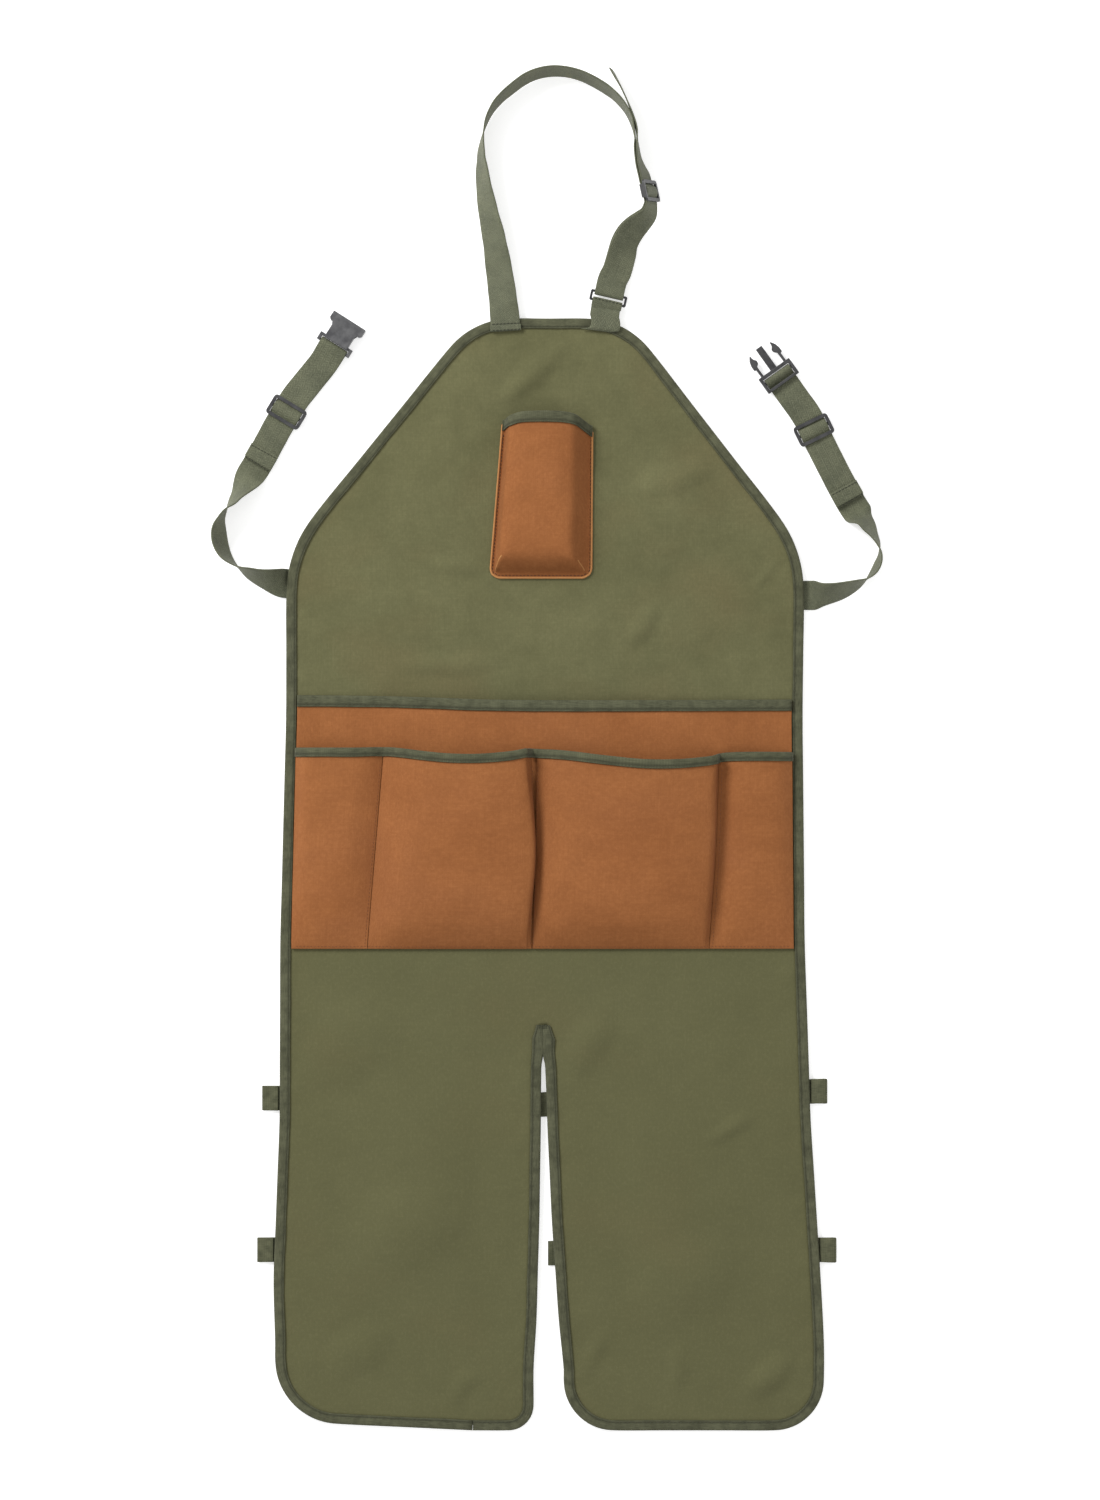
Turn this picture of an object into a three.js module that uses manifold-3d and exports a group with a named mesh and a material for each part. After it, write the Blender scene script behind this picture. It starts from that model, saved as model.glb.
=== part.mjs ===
// A gardening apron laid flat and face up. Millimetres: +X across, +Y towards the neck, +Z up.
// The floor is Z = 0, and the origin is under the middle of the apron with its straps laid out.
import * as THREE from 'three';
import { mergeVertices } from 'three/addons/utils/BufferGeometryUtils.js';
import Module from 'manifold-3d';

const manifoldLibrary = await Module();
manifoldLibrary.setup();

// Cloth, tape and webbing
const panelCloth = 1.6;
const pocketCloth = 1.0;
const tapeCloth = 1.0;
const tapeWidth = 8.8;
const mouthTapeWidth = 8.2;
const frontTapeWidth = 6.4;
const webWidth = 25;
const webCloth = 1.2;
const elasticWidth = 21;
const elasticCloth = 1.2;
const ply = 0.3; // clearance between layers that are sewn together

// The apron's cut
const apronLength = 927.5;
const neckEdge = 127.5;
const waistWidth = 432;
const bibDrop = 192.5; // from the neck edge down to the arm corners
const slitLength = 336;
const slitMouth = 24;
const slitTop = 1.0; // the two tape edges meet here
const neckRound = 68;
const armRound = 105;
const hemRoundLeft = 54;
const hemRoundRight = 42;
const legRoundLeft = 21;
const legRoundRight = 42;
const hemSlope = 8;
const panelPitch = 24; // size of the squares that the panel's folds are worked out on

// Pockets on the body
const pocketsDrop = 315.5; // neck edge to the back pocket's mouth
const pocketsHeight = 210;
const pocketsGap = 0.8; // between the pockets' sides and the tape
const frontPocketHeight = 168.5;
const backBulge = 6.5;
const backMouthFall = 4.2;
const bellowsDepth = 18;
const mouthSag = 14.6;
const pleatBow = 6.5;

// Chest pocket
const chestDrop = 80; // neck edge down to the lowest point of the mouth's tape
const chestHeight = 137;
const chestWidthTop = 75;
const chestWidthBottom = 85;
const chestDepth = 19;
const chestLean = 5.8; // how far the pocket leans to the right over its height
const chestArch = 11;
const chestRound = 9;

// Straps
const neckLoopRise = 210; // neck edge to the top of the loop
const neckLoopSpread = 132.5;
const neckRootHem = 11; // length of strap sewn down below the neck edge
const waistReachLeft = 60;
const waistRiseLeft = 198.3;
const waistReachRight = 65.4;
const waistRiseRight = 185;
const waistRootLeft = 221; // neck edge down to each waist strap's middle
const waistRootRight = 231;
const waistTailLeft = 49; // from the slider to the turned-back end
const waistTailRight = 66;
const endHem = 13;
const legTab = 14; // how far the leg straps show outside the legs
const legLoopRise = 3.4;
const legTabInner = 5; // how far the right leg's straps show in the slit
const legInset = 3; // from the slit's edge to the left leg's straps
const tabEndGap = 1.1; // from the legs' tape to the turned-back ends
const legUpperLeft = 277; // hem up to the leg straps' middles, at their outer ends
const legUpperRight = 283;
const legLower = 150.5;
const legFallUpper = 11.5; // how much lower the right leg's straps end at the slit
const legFallLower = 3;

// Sliders, ring and buckle
const sideRoom = 0.4; // beside the webbing
const rail = 2.6;
const sliderLength = 18;
const sliderBar = 2.9;
const sliderHeight = 4.8;
const wire = 2.0;
const ringRun = 7.2; // between the middles of the ring's two long bars
const ringTilt = THREE.MathUtils.degToRad(13);
const ringRise = 16.5; // neck edge to the ring's middle
const loopRoom = 0.9; // inside a loop of webbing, round its bar
const buckleHeight = 9;
const socketLength = 26;
const socketHead = 8;
const socketNeckWidth = 21.4;
const mouthHeight = 5;
const mouthBevel = 1.6;
const shoulder = 3; // height of the female half's shoulders
const shoulderStep = 1.4;
const socketBack = 2.4; // wall that the strap goes behind
const wallRound = 2.8;
const plugBody = 15;
const plugFloor = 1.2;
const plugHeight = 5;
const plugBack = 3; // the wall that the prongs start from
const plugEndBar = 2.4;
const prongLength = 21;
const tongueLength = 22.5;
const prongHeight = 3.2;
const prongFloor = 2;
const tongueWidth = 5.8;
const railShare = 0.62; // of a slider's length that its deep side rails take
const throughShare = 0.42; // of a slider's length, from its middle to where a strap lies flat

// Levels of the layers
const underTape = elasticCloth + ply;
const panelUnder = underTape + tapeCloth + ply;
const panelMiddle = panelUnder + panelCloth / 2;
const panelTop = panelUnder + panelCloth;
const tapeTop = panelTop + ply + tapeCloth;
const rootLevel = tapeTop + ply;
const tabEndLevel = underTape + elasticCloth / 2;

const apronTop = (apronLength - neckLoopRise) / 2;
const edgeInset = tapeCloth + ply;
const frameWidth = webWidth + 2 * sideRoom + 2 * rail;
const degree = Math.PI / 180;

const greenCanvas = new THREE.MeshStandardMaterial({ color: 0x6b6d48, roughness: 0.92, metalness: 0 });
const greenTape = new THREE.MeshStandardMaterial({ color: 0x4f523e, roughness: 0.85, metalness: 0 });
const brownCanvas = new THREE.MeshStandardMaterial({ color: 0x9c6039, roughness: 0.9, metalness: 0 });
const webbing = new THREE.MeshStandardMaterial({ color: 0x61654c, roughness: 0.8, metalness: 0 });
const greyPlastic = new THREE.MeshStandardMaterial({ color: 0x4b4b4e, roughness: 0.5, metalness: 0 });
const blackWire = new THREE.MeshStandardMaterial({ color: 0x1c1c1d, roughness: 0.4, metalness: 0.6 });

// Geometry helpers
const flat = (x = 0, y = 0, z = 0) => new THREE.Vector3(x, y, z);
const clamp = THREE.MathUtils.clamp;
const smooth = (t) => t * t * (3 - 2 * t);

function weld(geometry) {
  geometry.deleteAttribute('normal');
  geometry.deleteAttribute('uv');
  geometry.clearGroups();
  const merged = mergeVertices(geometry, 1e-4);
  merged.computeVertexNormals();
  return merged;
}

function toManifold(geometry) {
  const merged = weld(geometry);
  return new manifoldLibrary.Manifold(new manifoldLibrary.Mesh({
    numProp: 3,
    vertProperties: new Float32Array(merged.attributes.position.array),
    triVerts: new Uint32Array(merged.index.array),
  }));
}

function fromManifold(body) {
  const mesh = body.getMesh();
  const geometry = new THREE.BufferGeometry();
  geometry.setAttribute('position', new THREE.BufferAttribute(mesh.vertProperties, 3));
  geometry.setIndex(new THREE.BufferAttribute(mesh.triVerts, 1));
  geometry.computeVertexNormals();
  return geometry;
}

function joined(pieces) {
  return pieces.map(toManifold).reduce((whole, piece) => whole.add(piece));
}

function block(width, length, height, x, y, z) {
  const geometry = new THREE.BoxGeometry(width, length, height);
  geometry.translate(x, y, z + height / 2);
  return geometry;
}

function plate(shape, height, z) {
  const settings = { depth: height, bevelEnabled: false, curveSegments: 4 };
  const geometry = new THREE.ExtrudeGeometry(shape, settings);
  geometry.translate(0, 0, z);
  return geometry;
}

// A box cut into columns and rows, with each of its points moved to place(column, row, side).
// side is 0.5 on the outer face of the cloth and -0.5 on the inner one. Both faces' squares are
// cut along the same diagonals, the other ones in rows that are turned, so that twisted cloth
// keeps its thickness.
function bentBox(columns, rows, place, turned = () => false) {
  const box = new THREE.BoxGeometry(1, 1, 1, columns, rows, 1);
  for (let square = 0; square < columns * rows; square++) {
    const row = rows - 1 - Math.floor(square / columns);
    const start = box.groups[turned(row) ? 4 : 5].start + 6 * square;
    const [a, b, d, , c] = box.index.array.slice(start, start + 6);
    box.index.set([a, b, c, a, c, d], start);
  }
  const spots = box.attributes.position;
  for (let i = 0; i < spots.count; i++) {
    const column = Math.round((spots.getX(i) + 0.5) * columns);
    const row = Math.round((spots.getY(i) + 0.5) * rows);
    const spot = place(column, row, spots.getZ(i));
    spots.setXYZ(i, spot.x, spot.y, spot.z);
  }
  return weld(box);
}

// The cloth's outward direction at one point of a grid whose middle surface is spot(column, row)
function clothNormal(columns, rows, spot, column, row) {
  const right = spot(Math.min(column + 1, columns), row);
  const left = spot(Math.max(column - 1, 0), row);
  const above = spot(column, Math.min(row + 1, rows));
  const below = spot(column, Math.max(row - 1, 0));
  return right.sub(left).cross(above.sub(below)).normalize();
}

function clothSheet(columns, rows, spot, cloth) {
  return bentBox(columns, rows, (column, row, side) => {
    const normal = clothNormal(columns, rows, spot, column, row);
    return spot(column, row).addScaledVector(normal, side * cloth);
  });
}

// Tape folded over a cloth's edge. Each edge point has its place, the way into the cloth and the
// way out of its face. Columns run from the front strip's edge over the fold to the back strip's.
function foldedTape(edge, cloth, width) {
  return bentBox(3, edge.length - 1, (column, row, side) => {
    const outer = side > 0 ? tapeCloth : 0;
    const reach = (column < 2 ? 1 : -1) * (cloth / 2 + ply + outer);
    const depth = column === 0 || column === 3 ? width : -(ply + outer);
    const { spot, into, out } = edge[row];
    return spot.clone().addScaledVector(into, depth).addScaledVector(out, reach);
  });
}

// Tape over a pocket's mouth, the last row of its grid, or over some of its columns. Two lengths
// that meet at a column stay one ply apart.
function mouthTape(columns, rows, spot, width, first = 0, last = columns) {
  const edge = [];
  for (let column = last; column >= first; column--) {
    const top = spot(column, rows);
    const into = spot(column, rows - 1).sub(top).normalize();
    const out = clothNormal(columns, rows, spot, column, rows);
    if (column === first && first > 0) top.x += ply / 2;
    if (column === last && last < columns) top.x -= ply / 2;
    edge.push({ spot: top, into, out });
  }
  return foldedTape(edge, pocketCloth, width);
}

// A table's column read between its rows, at a place along the column called by
function between(table, by, at, column) {
  const next = Math.max(1, table.findIndex((row) => row[by] >= at - 1e-9));
  const low = table[next - 1];
  const high = table[next];
  const share = clamp((at - low[by]) / (high[by] - low[by]), 0, 1);
  return THREE.MathUtils.lerp(low[column], high[column], share);
}

// The outline of the apron, anticlockwise from the tape's joint in the left leg's hem.
// Sides of the apron: down is a share of its length, half of half its waist, lean of its waist.
const sideRuns = [
  { down: 0.36, half: 0.998, lean: -0.010 },
  { down: 0.56, half: 1.013, lean: -0.0135 },
  { down: 0.72, half: 1.026, lean: -0.0085 },
  { down: 0.865, half: 1.057, lean: -0.0045 },
  { down: 0.92, half: 1.060, lean: 0 },
];
// Slit in the middle: down is a share of its length, left and right of its mouth
const slitRuns = [
  { down: 0.06, left: 0.002, right: 0.002 },
  { down: 0.1, left: 0.03, right: 0.05 },
  { down: 0.25, left: 0.05, right: 0.13 },
  { down: 0.48, left: 0.1, right: 0.28 },
  { down: 0.725, left: 0.2, right: 0.52 },
  { down: 0.847, left: 0.3, right: 0.69 },
];
const slitAcross = -0.0125 * waistWidth;
const hemWidth = sideRuns.at(-1).half * waistWidth;
const hemLine = apronTop - apronLength;
const slitTopLine = hemLine + slitLength;
const armLean = -0.0078 * waistWidth;

function sideCorner(run, side) {
  const x = side * run.half * waistWidth / 2 + run.lean * waistWidth;
  return { x, y: apronTop - run.down * apronLength, round: 0 };
}

function slitCorner(run, side) {
  const share = side < 0 ? run.left : run.right;
  const x = slitAcross + side * (share * slitMouth + slitTop / 2);
  return { x, y: slitTopLine - run.down * slitLength, round: 0 };
}

const slitLip = slitRuns.at(-1);
const corners = [
  { x: -0.28 * hemWidth / 2, y: hemLine, round: 0 },
  { x: slitAcross - slitLip.left * slitMouth - slitTop / 2, y: hemLine, round: legRoundLeft },
  ...slitRuns.toReversed().map((run) => slitCorner(run, -1)),
  { x: slitAcross - slitTop / 2, y: slitTopLine, round: slitTop * 0.48 },
  { x: slitAcross + slitTop / 2, y: slitTopLine, round: slitTop * 0.48 },
  ...slitRuns.map((run) => slitCorner(run, 1)),
  { x: slitAcross + slitLip.right * slitMouth + slitTop / 2, y: hemLine, round: legRoundRight },
  { x: hemWidth / 2, y: hemLine, round: hemRoundRight },
  ...sideRuns.toReversed().map((run) => sideCorner(run, 1)),
  { x: waistWidth / 2 + armLean, y: apronTop - bibDrop, round: armRound },
  { x: neckEdge / 2, y: apronTop, round: neckRound },
  { x: -neckEdge / 2, y: apronTop, round: neckRound },
  { x: -waistWidth / 2 + armLean, y: apronTop - bibDrop, round: armRound },
  ...sideRuns.map((run) => sideCorner(run, -1)),
  { x: -hemWidth / 2, y: hemLine + hemSlope, round: hemRoundLeft },
];

// Where the apron's side and the slit's edge run at any height
function outlineAcross(y, side) {
  const down = (apronTop - y) / apronLength;
  const half = between(sideRuns, 'down', down, 'half');
  return side * half * waistWidth / 2 + between(sideRuns, 'down', down, 'lean') * waistWidth;
}

function slitEdge(y, side) {
  const down = (slitTopLine - y) / slitLength;
  const share = between(slitRuns, 'down', down, side < 0 ? 'left' : 'right');
  return slitAcross + side * (share * slitMouth + slitTop / 2);
}

// Corners made round by arcs, and long runs cut at most one pitch long
function roundedOutline(list, pitch) {
  const points = [];
  const add = (point) => {
    const last = points.at(-1);
    const steps = last ? Math.max(1, Math.ceil(last.distanceTo(point) / pitch)) : 1;
    for (let step = 1; step < steps; step++) points.push(last.clone().lerp(point, step / steps));
    points.push(point);
  };
  list.forEach((corner, i) => {
    const here = new THREE.Vector2(corner.x, corner.y);
    const before = list.at(i - 1);
    const after = list[(i + 1) % list.length];
    if (corner.round === 0) {
      add(here);
      return;
    }
    const back = new THREE.Vector2(before.x, before.y).sub(here).normalize();
    const forth = new THREE.Vector2(after.x, after.y).sub(here).normalize();
    const half = Math.acos(clamp(back.dot(forth), -1, 1)) / 2;
    const middle = back.clone().add(forth).normalize();
    const centre = middle.multiplyScalar(corner.round / Math.sin(half)).add(here);
    const start = here.clone().addScaledVector(back, corner.round / Math.tan(half));
    const turn = Math.PI - 2 * half;
    const side = Math.sign(back.cross(forth)) * -1;
    const steps = Math.max(2, Math.ceil(turn / (corner.round > 10 ? 14 * degree : 45 * degree)));
    for (let step = 0; step <= steps; step++) {
      add(start.clone().rotateAround(centre, side * turn * step / steps));
    }
  });
  add(points[0].clone());
  points.pop();
  return points;
}

// The way into the apron at each point of its closed outline, lengthened at corners
function inwardWays(points) {
  return points.map((point, i) => {
    const along = point.clone().sub(points.at(i - 1)).normalize();
    const onward = points[(i + 1) % points.length].clone().sub(point).normalize();
    const mean = along.clone().add(onward).normalize();
    return new THREE.Vector2(-mean.y, mean.x).divideScalar(Math.max(0.5, mean.dot(along)));
  });
}

const outline = roundedOutline(corners, 60);
const inward = inwardWays(outline);

// Soft folds of the panel. across is a share of half the waist, down of the apron's length; long
// and wide are shares of half the waist, and rise is a height in cloths of the panel.
const panelFolds = [
  { across: 0.02, down: 0.056, long: 0.30, wide: 0.14, turn: -8, rise: 2.4 },
  { across: 0.42, down: 0.150, long: 0.45, wide: 0.16, turn: 62, rise: 1.5 },
  { across: -0.45, down: 0.150, long: 0.34, wide: 0.16, turn: -58, rise: 1.5 },
  { across: 0.40, down: 0.275, long: 0.55, wide: 0.20, turn: 12, rise: 1.4 },
  { across: -0.42, down: 0.280, long: 0.50, wide: 0.20, turn: -8, rise: 1.2 },
  { across: -0.52, down: 0.790, long: 0.86, wide: 0.36, turn: 90, rise: 2.2 },
  { across: 0.50, down: 0.790, long: 0.86, wide: 0.36, turn: 90, rise: 2.2 },
];

const outlineSides = outline.map((point, i) => {
  const next = outline[(i + 1) % outline.length];
  return new THREE.Line3(flat(point.x, point.y), flat(next.x, next.y));
});

function roomToEdge(x, y) {
  const spot = flat(x, y);
  const nearest = flat();
  const rooms = outlineSides.map((side) => side.closestPointToPoint(spot, true, nearest).distanceTo(spot));
  return Math.min(...rooms);
}

// The folds fade out before the tape, which lies flat
function panelRise(x, y) {
  const room = roomToEdge(x, y) - tapeWidth - panelPitch * 1.45;
  const fade = smooth(clamp(room / panelPitch, 0, 1));
  let rise = 0;
  for (const fold of panelFolds) {
    const offset = new THREE.Vector2(x, y);
    offset.x -= fold.across * waistWidth / 2;
    offset.y -= apronTop - fold.down * apronLength;
    offset.rotateAround(new THREE.Vector2(), -fold.turn * degree);
    offset.divideScalar(waistWidth / 2);
    const far = Math.hypot(offset.x / fold.long, offset.y / fold.wide);
    if (far < 1) rise += fold.rise * panelCloth * (1 - far * far) ** 2;
  }
  return rise * fade;
}

function mainPanel() {
  const edge = outline.map((point, i) => point.clone().addScaledVector(inward[i], edgeInset));
  const cut = plate(new THREE.Shape(edge), panelTop * 8, -panelTop);
  const width = hemWidth * 1.1;
  const length = apronLength * 1.05;
  const columns = Math.ceil(width / panelPitch);
  const rows = Math.ceil(length / panelPitch);
  const slab = bentBox(columns, rows, (column, row, side) => {
    const x = (column / columns - 0.5) * width;
    const y = apronTop - apronLength / 2 + (row / rows - 0.5) * length;
    return flat(x, y, panelMiddle + side * panelCloth + panelRise(x, y));
  });
  return fromManifold(toManifold(slab).intersect(toManifold(cut)));
}

function edgeBinding() {
  const ends = [outline[1], outline.at(-1)].map((next) => {
    const onward = next.clone().sub(outline[0]).setLength(ply / 2);
    return onward.add(outline[0]);
  });
  const run = [ends[0], ...outline.slice(1), ends[1]];
  const ways = [inward[0], ...inward.slice(1), inward[0]];
  const edge = run.map((point, i) => ({
    spot: flat(point.x + ways[i].x * edgeInset, point.y + ways[i].y * edgeInset, panelMiddle),
    into: flat(ways[i].x, ways[i].y),
    out: flat(0, 0, 1),
  }));
  return foldedTape(edge, panelCloth, tapeWidth - edgeInset);
}

// The body's pockets run from tape to tape
function pocketsAcross(across, y) {
  const left = outlineAcross(y, -1) + tapeWidth + pocketsGap;
  const right = outlineAcross(y, 1) - tapeWidth - pocketsGap;
  return THREE.MathUtils.lerp(left, right, across);
}

// Back pocket. across is a share of the pockets' width, rise of the bulge, and fall of how much
// lower the mouth runs to the right.
const backColumns = [
  { across: 0, rise: 0, fall: 0 },
  { across: 0.08, rise: 0.12, fall: 0.05 },
  { across: 0.18, rise: 0.42, fall: 0.2 },
  { across: 0.28, rise: 0.78, fall: 0.5 },
  { across: 0.38, rise: 0.95, fall: 0.85 },
  { across: 0.5, rise: 1.0, fall: 1 },
  { across: 0.62, rise: 0.98, fall: 1 },
  { across: 0.73, rise: 0.82, fall: 0.98 },
  { across: 0.83, rise: 0.45, fall: 0.95 },
  { across: 0.92, rise: 0.12, fall: 0.9 },
  { across: 1, rise: 0, fall: 0.85 },
];
// Rows of a body pocket, up from its seam: up is a share of its height and full of its bulge
const pocketRows = [
  { up: 0, full: 0 },
  { up: 0.06, full: 0.3 },
  { up: 0.15, full: 0.62 },
  { up: 0.3, full: 0.86 },
  { up: 0.5, full: 0.97 },
  { up: 0.72, full: 1 },
  { up: 0.93, full: 1 },
  { up: 1, full: 1 },
];
const seamLine = apronTop - pocketsDrop - pocketsHeight;
const mouthRoom = tapeCloth + ply;

// Height of the back pocket's middle surface over any point of the body
function backLevel(x, y) {
  const left = pocketsAcross(0, y);
  const across = clamp((x - left) / (pocketsAcross(1, y) - left), 0, 1);
  const up = clamp((y - seamLine) / pocketsHeight, 0, 1);
  const rise = between(backColumns, 'across', across, 'rise') * between(pocketRows, 'up', up, 'full');
  const lift = mouthRoom * smooth(clamp((up - 0.5) / 0.4, 0, 1));
  return panelTop + ply + pocketCloth / 2 + lift + rise * backBulge;
}

function backSpot(column, row) {
  const { across, fall } = backColumns[column];
  const y = seamLine + pocketRows[row].up * (pocketsHeight - fall * backMouthFall);
  const x = pocketsAcross(across, y);
  return flat(x, y, backLevel(x, y));
}

// Front pockets, from the left flat one over the two bellows to the right flat one. across is a
// share of the pockets' width at the mouth and foot the same at the seam; rise is a share of the
// bellows' depth, sag of the mouth's sag, and bow of the pleats' sideways bow. They are sewn down
// at the columns that have a seam.
const frontColumns = [
  { across: 0, foot: 0, rise: 0, sag: 0.14, bow: 0 },
  { across: 0.025, foot: 0.02, rise: 0.38, sag: 0.14, bow: 0 },
  { across: 0.07, foot: 0.055, rise: 0.54, sag: 0.14, bow: 0 },
  { across: 0.12, foot: 0.095, rise: 0.52, sag: 0.14, bow: 0 },
  { across: 0.155, foot: 0.125, rise: 0.34, sag: 0.12, bow: 0 },
  { across: 0.174, foot: 0.148, rise: 0.12, sag: 0.12, bow: 0, seam: 'left outer' },
  { across: 0.178, foot: 0.152, rise: 0.12, sag: 0.12, bow: 0, seam: 'left inner' },
  { across: 0.195, foot: 0.166, rise: 0.3, sag: 0.13, bow: 0 },
  { across: 0.22, foot: 0.19, rise: 0.66, sag: 0.2, bow: 0 },
  { across: 0.26, foot: 0.233, rise: 0.93, sag: 0.34, bow: 0 },
  { across: 0.31, foot: 0.292, rise: 1.05, sag: 0.47, bow: 0 },
  { across: 0.37, foot: 0.356, rise: 1.08, sag: 0.49, bow: 0.2 },
  { across: 0.43, foot: 0.425, rise: 1.0, sag: 0.35, bow: 0.6 },
  { across: 0.46, foot: 0.464, rise: 0.88, sag: 0.2, bow: 1 },
  { across: 0.465, foot: 0.469, rise: 0.6, sag: 0.2, bow: 1 },
  { across: 0.4705, foot: 0.473, rise: 0.26, sag: 0.19, bow: 0.8 },
  { across: 0.476, foot: 0.477, rise: 0.08, sag: 0.2, bow: 0.3, seam: 'middle left' },
  { across: 0.486, foot: 0.481, rise: 0.08, sag: 0.22, bow: 0.1, seam: 'middle right' },
  { across: 0.503, foot: 0.488, rise: 0.26, sag: 0.24, bow: 0 },
  { across: 0.522, foot: 0.507, rise: 0.58, sag: 0.26, bow: 0 },
  { across: 0.56, foot: 0.547, rise: 0.88, sag: 0.36, bow: 0 },
  { across: 0.62, foot: 0.607, rise: 1.03, sag: 0.57, bow: 0 },
  { across: 0.7, foot: 0.682, rise: 1.1, sag: 0.79, bow: 0 },
  { across: 0.77, foot: 0.75, rise: 1.04, sag: 0.79, bow: 0.1 },
  { across: 0.826, foot: 0.806, rise: 0.9, sag: 0.65, bow: 0.2 },
  { across: 0.844, foot: 0.821, rise: 0.74, sag: 0.56, bow: 0.3 },
  { across: 0.848, foot: 0.826, rise: 0.42, sag: 0.53, bow: 0.3 },
  { across: 0.852, foot: 0.831, rise: 0.14, sag: 0.49, bow: 0.2, seam: 'right inner' },
  { across: 0.858, foot: 0.837, rise: 0.12, sag: 0.46, bow: 0.2, seam: 'right outer' },
  { across: 0.87, foot: 0.848, rise: 0.16, sag: 0.42, bow: 0.1 },
  { across: 0.895, foot: 0.879, rise: 0.46, sag: 0.39, bow: 0 },
  { across: 0.935, foot: 0.924, rise: 0.54, sag: 0.38, bow: 0 },
  { across: 0.975, foot: 0.97, rise: 0.38, sag: 0.39, bow: 0 },
  { across: 1, foot: 1, rise: 0, sag: 0.4, bow: 0 },
];
const frontSeam = (name) => frontColumns.findIndex(({ seam }) => seam === name);
const frontSeams = (...names) => names.map(frontSeam);

function frontSpot(column, row) {
  const { across, foot, rise, sag, bow } = frontColumns[column];
  const { up, full } = pocketRows[row];
  const y = seamLine + up * (frontPocketHeight - sag * mouthSag);
  const sideways = pleatBow * bow * Math.sin(Math.PI * up) ** 2;
  const x = pocketsAcross(THREE.MathUtils.lerp(foot, across, up), y) + sideways;
  const lift = mouthRoom * smooth(clamp((up - 0.5) / 0.4, 0, 1));
  const level = backLevel(x, y) + pocketCloth + ply + lift;
  return flat(x, y, level + rise * full * bellowsDepth);
}

// One of the front pockets, from one column to another
function frontPocket(first, last) {
  const spot = (column, row) => frontSpot(first + column, row);
  return clothSheet(last - first, pocketRows.length - 1, spot, pocketCloth);
}

// Chest pocket, a box of cloth with side and bottom gussets inside a narrow sewn-down flange.
// across is a share of its width, rise of its depth, and arch of the mouth's arch.
const chestColumns = [
  { across: 0, rise: 0, arch: 0.45 },
  { across: 0.04, rise: 0, arch: 0.5 },
  { across: 0.065, rise: 0.45, arch: 0.6 },
  { across: 0.1, rise: 0.84, arch: 0.72 },
  { across: 0.2, rise: 1.0, arch: 0.93 },
  { across: 0.36, rise: 1.09, arch: 1 },
  { across: 0.54, rise: 1.1, arch: 1 },
  { across: 0.68, rise: 1.02, arch: 0.95 },
  { across: 0.79, rise: 0.88, arch: 0.8 },
  { across: 0.87, rise: 0.48, arch: 0.5 },
  { across: 0.955, rise: 0.02, arch: 0.12 },
  { across: 1, rise: 0, arch: 0 },
];
// Rows up from the pocket's foot: up is a share of its height, rise of its depth
const chestRows = [
  { up: 0, rise: 0 },
  { up: 0.03, rise: 0 },
  { up: 0.07, rise: 0.45 },
  { up: 0.12, rise: 0.82 },
  { up: 0.175, rise: 0.98 },
  { up: 0.3, rise: 1.05 },
  { up: 0.55, rise: 1.1 },
  { up: 0.78, rise: 1.12 },
  { up: 0.9, rise: 1.12 },
  { up: 1, rise: 1.12 },
];
const chestAcross = -0.0171 * waistWidth;

function chestSpot(column, row) {
  const { across, rise, arch } = chestColumns[column];
  const { up, rise: rowRise } = chestRows[row];
  const width = THREE.MathUtils.lerp(chestWidthBottom, chestWidthTop, up);
  const lean = chestLean * up;
  const foot = apronTop - chestDrop - chestHeight;
  let x = (across - 0.5) * width;
  let y = up * (chestHeight - (1 - arch) * chestArch);
  const aside = Math.abs(x) - width / 2 + chestRound;
  const below = chestRound - y;
  if (aside > 0 && below > 0) {
    const reach = Math.max(aside, below) / Math.hypot(aside, below);
    x = Math.sign(x) * (width / 2 - chestRound + aside * reach);
    y = chestRound - below * reach;
  }
  const lift = mouthRoom * smooth(clamp((up - 0.55) / 0.35, 0, 1));
  const level = panelTop + ply + pocketCloth / 2 + lift;
  return flat(chestAcross + lean + x, foot + y, level + Math.min(rise, rowRise) * chestDepth);
}

// A strap's route over the floor: stations with a place, a roll about the route and a lift.
class Route {
  constructor(stations) {
    this.stations = stations;
    this.curve = new THREE.CatmullRomCurve3(stations.map((station) => flat(station.x, station.y)));
    this.curve.arcLengthDivisions = 24 * (stations.length - 1);
    this.length = this.curve.getLength();
  }

  distanceTo(mark) {
    const index = this.stations.findIndex((station) => station.mark === mark);
    return this.curve.getLengths()[24 * index];
  }

  // Place, directions along, across and up, of the strap's bed at a distance along the route
  frame(distance) {
    const inside = clamp(distance, 1e-6, this.length);
    const share = this.curve.getUtoTmapping(0, inside);
    const along = this.curve.getTangent(share);
    const spot = this.curve.getPoint(share).addScaledVector(along, distance - inside);
    const at = share * (this.stations.length - 1);
    const low = this.stations[Math.floor(at)];
    const high = this.stations[Math.min(Math.floor(at) + 1, this.stations.length - 1)];
    const part = smooth(at - Math.floor(at));
    const roll = THREE.MathUtils.lerp(low.roll, high.roll, part) * degree;
    const lift = THREE.MathUtils.lerp(low.lift, high.lift, part);
    const left = flat(-along.y, along.x);
    const up = flat(0, 0, Math.cos(roll)).addScaledVector(left, Math.sin(roll));
    const across = flat(0, 0, Math.sin(roll)).addScaledVector(left, -Math.cos(roll));
    spot.z = lift + webWidth / 2 * Math.abs(Math.sin(roll)) + webCloth * Math.max(0, -Math.cos(roll));
    return { spot, along, across, up };
  }

  point(distance, height, aside = 0) {
    const { spot, across, up } = this.frame(distance);
    return { spot: spot.addScaledVector(up, height).addScaledVector(across, aside), across };
  }
}

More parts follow.
